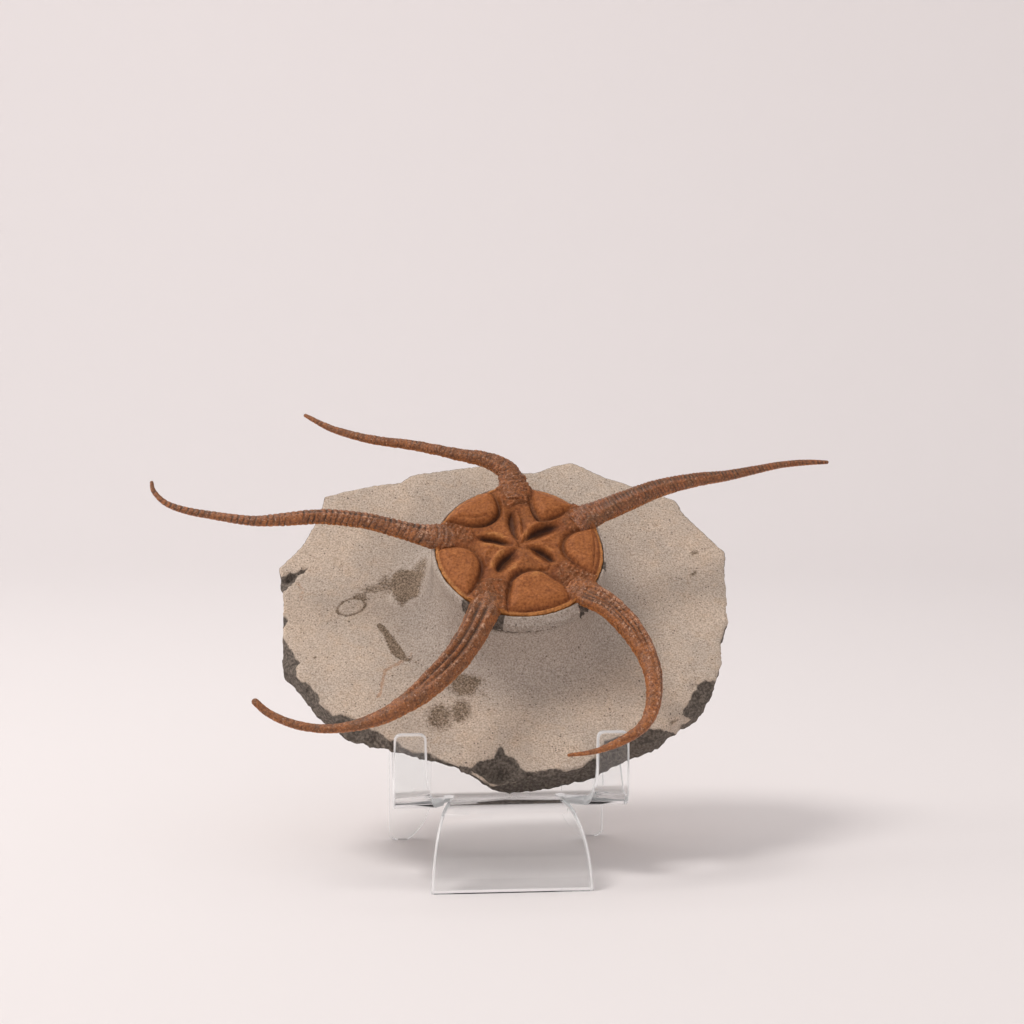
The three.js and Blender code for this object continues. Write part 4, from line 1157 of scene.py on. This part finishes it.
def makeEasel():
    e = easel
    shelfMiddle = e["shelfTop"] - e["sheet"] / 2
    drop = e["clearance"] + e["sheet"] / 2

    def rest(up):
        y = up * cos(lean) + drop * sin(lean)
        return y, e["shelfTop"] + e["clearance"] + up * sin(lean) - drop * cos(lean)

    def onTongue(x, y):  # measured on the flat sheet
        gapAt = np.interp(y - forkAt, *e["tongueGap"])
        return bool(y > forkAt and abs(x - e["tongueAside"]) < gapAt)

    meetsShelf = (drop * cos(lean) - drop) / sin(lean)
    body = bentLine([
        (e["rearFoot"], 0, 0),
        (*rest(e["restLength"]), e["topBend"]),
        (*rest(meetsShelf), e["shelfBend"]),
        (-e["hookFront"], shelfMiddle, e["hookBend"]),
        (-e["hookFront"], e["shelfTop"] + e["hookHeight"], 0),
    ])
    fork = -e["hookFront"] + e["hookBend"]
    tongueFront = -e["tongueStart"] - shelfMiddle
    tongue = bentLine(
        [(fork, shelfMiddle, 0), (tongueFront, shelfMiddle, shelfMiddle), (tongueFront, 0, 0)],
        facet=0.06,
    )
    along = lengthAlong(body)
    forkAt = along[np.argmin(np.hypot(*(body - tongue[0]).T))]
    tongueAlong = forkAt + lengthAlong(tongue)

    # the flat sheet before bending: x across, y along it from the rear feet
    outer = e["width"] / 2
    inHook, inLeg = outer - e["hookWidth"], outer - e["legWidth"]
    hookTop, archTop = along[-1], e["archHeight"]
    hookCorner, archCorner = e["hookCorner"], e["archCorner"]
    cut, flare, bend = e["legCut"], e["hookFlare"], e["hookBend"]
    flareEdge = []
    for t in np.linspace(1, 0, 15)[1:]:
        height = t**2 * flare["height"]  # over the middle of the shelf's sheet
        inwards = 2 * t * (1 - t) * flare["pull"] + (1 - t) ** 2 * flare["width"]
        turned = bend * np.arccos(1 - min(height, bend) / bend)
        flareEdge.append((inHook - inwards, forkAt + turned + max(height - bend, 0)))

    notchLength = e["notchBack"] - fork  # behind the fork
    notchAt = forkAt - notchLength
    start, end = e["tongueTop"] / 2, e["notchEnd"]
    rounded = notchAt + end / 2
    foot, ends = e["tongueFoot"] / 2, tongueAlong[-1]
    root = start + (foot - start) * (notchLength / (notchLength + ends - forkAt))
    bulging = ((root + foot) / 2 + e["tongueBulge"], (forkAt + ends) / 2)
    half = [
        *corner((inLeg - archCorner, archTop), (inLeg, archTop), (inLeg, archTop - archCorner)),
        *corner((inLeg, cut["height"]), (inLeg + cut["pull"], cut["bulge"]), (inLeg + cut["width"], 0)),
        *corner((outer - e["footCorner"], 0), (outer, 0), (outer, e["footCorner"])),
        *corner((outer, hookTop - hookCorner), (outer, hookTop), (outer - hookCorner, hookTop)),
        *corner((inHook + hookCorner, hookTop), (inHook, hookTop), (inHook, hookTop - hookCorner)),
        *flareEdge,
    ]
    tongueEdge = [
        *corner((start + end, rounded), (start + end, notchAt), (start + end / 2, notchAt)),
        *corner((start + end / 2, notchAt), (start, notchAt), (start, rounded))[1:],
        *corner((root, forkAt), bulging, (foot, ends), steps=16),
    ]
    aside = e["tongueAside"]
    outline = half + [(x + aside, y) for x, y in tongueEdge]
    outline += [(aside - x, y) for x, y in reversed(tongueEdge)] + [(-x, y) for x, y in reversed(half)]

    mesh = bmesh.new()
    mesh.faces.new([mesh.verts.new((x, y, 0)) for x, y in outline])
    # a row of edges at each facet of the bends; beyond the fork, tongue and hooks have their own
    rows = [(cutAt, False) for cutAt in along[1:-1].tolist()]
    rows += [(cutAt, True) for cutAt in tongueAlong[1:-1].tolist()]
    for cutAt, forTongue in sorted(rows):
        faces = mesh.faces[:]
        if cutAt > forkAt + 0.01:
            faces = [face for face in faces if onTongue(*face.calc_center_median().xy) == forTongue]
        edges = {edge for face in faces for edge in face.edges}
        verts = {vertex for face in faces for vertex in face.verts}
        geometry = [*verts, *edges, *faces]
        bmesh.ops.bisect_plane(mesh, geom=geometry, plane_co=(0, cutAt, 0), plane_no=(0, 1, 0), dist=1e-4)
    between = [v for v in mesh.verts if len(v.link_edges) == 2]  # on no row
    between = [v for v in between if forkAt + 1 < v.co.y < ends - 0.01 and onTongue(v.co.x, v.co.y)]
    bmesh.ops.dissolve_verts(mesh, verts=between)
    easelLow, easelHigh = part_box("acrylic_easel")
    originX = (easelLow.x + easelHigh.x) / 2
    originY = easelLow.y + e["tongueFootInFront"] * mm
    for vertex in mesh.verts:
        x, y = vertex.co.x, vertex.co.y
        line, marks = (tongue, tongueAlong) if onTongue(x, y) else (body, along)
        depth = np.interp(y, marks, line[:, 0])
        height = np.interp(y, marks, line[:, 1])
        vertex.co = Vector((originX + x * mm, originY + depth * mm, height * mm))
    bmesh.ops.recalc_face_normals(mesh, faces=mesh.faces[:])
    data = bpy.data.meshes.new("clearEasel")
    mesh.to_mesh(data)
    mesh.free()
    piece = addObject("clearEasel", data)
    sheet = piece.modifiers.new("sheet", "SOLIDIFY")
    sheet.thickness = e["sheet"] * mm
    sheet.offset = 0
    sheet.material_offset_rim = 1  # the sawn edges
    piece.data.materials.append(None)
    piece.data.materials.append(None)
    applyModifiers(piece)

    roundEdges(piece, originX, originY)
    for vertex in piece.data.vertices:  # the soles stay flat on the floor
        vertex.co.z = max(vertex.co.z, 0)
        vertex.co.y = max(vertex.co.y, easelLow.y)
    return piece


clearEasel = makeEasel()
# Clear cast acrylic, heated and bent: the sheet all but vanishes, and only its bends show. Its sawn and
# flame-polished edges are whitish, and a painted glow makes them bright.
for slot, (name, values) in enumerate(easel["finishes"].items()):
    clearEasel.data.materials[slot] = finishMaterial(newMaterial(name)[0], values)
print("easel made,", len(clearEasel.data.polygons), "faces")

studio = {
    "floorRadius": 1.1,  # of its flat part
    "curve": 0.9,  # radius of the curve up into the wall
    "curveRows": 12,
    "height": 1.3,
    "floorFinish": {"Base Color": "#ebe7e7", "Roughness": 0.95, "Specular IOR Level": 0.1},
    "floorHeight": 0.00003,  # just over the soles, so that no dark gap shows under clear feet
    "sky": ("#fffbfa", 0.63),
    # place, aim, size, power, colour
    "lights": {
        "window": ((-0.5, -0.12, 1.0), (0, 0, 0.06), 0.4, 4.7, "#fffaf6"),
        "side": ((-1.5, 0.15, 0.5), (0, 0, 0.03), 0.8, 4.4, "#fffaf6"),
        "front": ((0.1, -1.6, 0.45), (0, 0, 0.03), 1.4, 2.7, "#fffaf6"),
        "wallWash": ((-0.4, 0.9, 1.5), (0, 2.0, 0.4), 1.2, 6.0, "#fff9f8"),
    },
}


def makeFloor():
    # a floor that curves up all round into a plain wall, so there is no horizon from any side
    radius, curve = studio["floorRadius"], studio["curve"]
    low = studio["floorHeight"]
    profile = [(0.0, low), (radius * 0.5, low), (radius, low)]
    rows = studio["curveRows"]
    for k in range(1, rows + 1):
        a = pi / 2 * k / rows
        profile.append((radius + curve * sin(a), low + curve * (1 - cos(a))))
    profile.append((radius + curve, studio["height"]))
    mesh = bmesh.new()
    rim = [mesh.verts.new((r, 0, z)) for r, z in profile]
    edges = [mesh.edges.new(pair) for pair in zip(rim[:-1], rim[1:])]
    bmesh.ops.spin(mesh, geom=rim + edges, axis=(0, 0, 1), cent=(0, 0, 0), angle=2 * pi, steps=72)
    bmesh.ops.remove_doubles(mesh, verts=mesh.verts[:], dist=1e-5)
    bmesh.ops.recalc_face_normals(mesh, faces=mesh.faces[:])
    data = bpy.data.meshes.new("floor")
    mesh.to_mesh(data)
    mesh.free()
    data.shade_smooth()
    # matt paper: it takes soft shadows and shows no gloss
    data.materials.append(finishMaterial(newMaterial("matt paper sweep")[0], studio["floorFinish"]))
    addObject("floor", data)


def makeLights():
    for name, (place, aim, size, power, colour) in studio["lights"].items():
        data = bpy.data.lights.new(name, "AREA")
        data.shape = "DISK"
        data.size = size
        data.energy = power
        data.color = toLinear(colour)[:3]
        lamp = addObject(name, data)
        lamp.location = place
        lamp.rotation_euler = (Vector(aim) - lamp.location).to_track_quat("-Z", "Y").to_euler()
        lamp.visible_camera = False
    world = bpy.data.worlds.new("studio")
    world.use_nodes = True
    colour, strength = studio["sky"]
    background = world.node_tree.nodes["Background"].inputs
    background["Color"].default_value = toLinear(colour)
    background["Strength"].default_value = strength
    bpy.context.scene.world = world


makeFloor()
makeLights()
print("studio set")

# which node each piece stands for, and its material slot
standsFor = {
    "armBackLeft": ("arm_back_left", "arm_calcite"),
    "armLeft": ("arm_left", "arm_calcite"),
    "armRight": ("arm_right", "arm_calcite"),
    "armFrontLeft": ("arm_front_left", "arm_calcite"),
    "armFrontRight": ("arm_front_right", "arm_calcite"),
    "starDisc": ("central_disc", "disc_calcite"),
    "slabAndPedestal": ("matrix_slab", "limestone"),
    "clearEasel": ("acrylic_easel", "clear_acrylic"),
}
for piece in (*armPieces.values(), starDisc, slab, clearEasel):
    node, slot = standsFor[piece.name]
    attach(piece, "root")
    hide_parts(node)
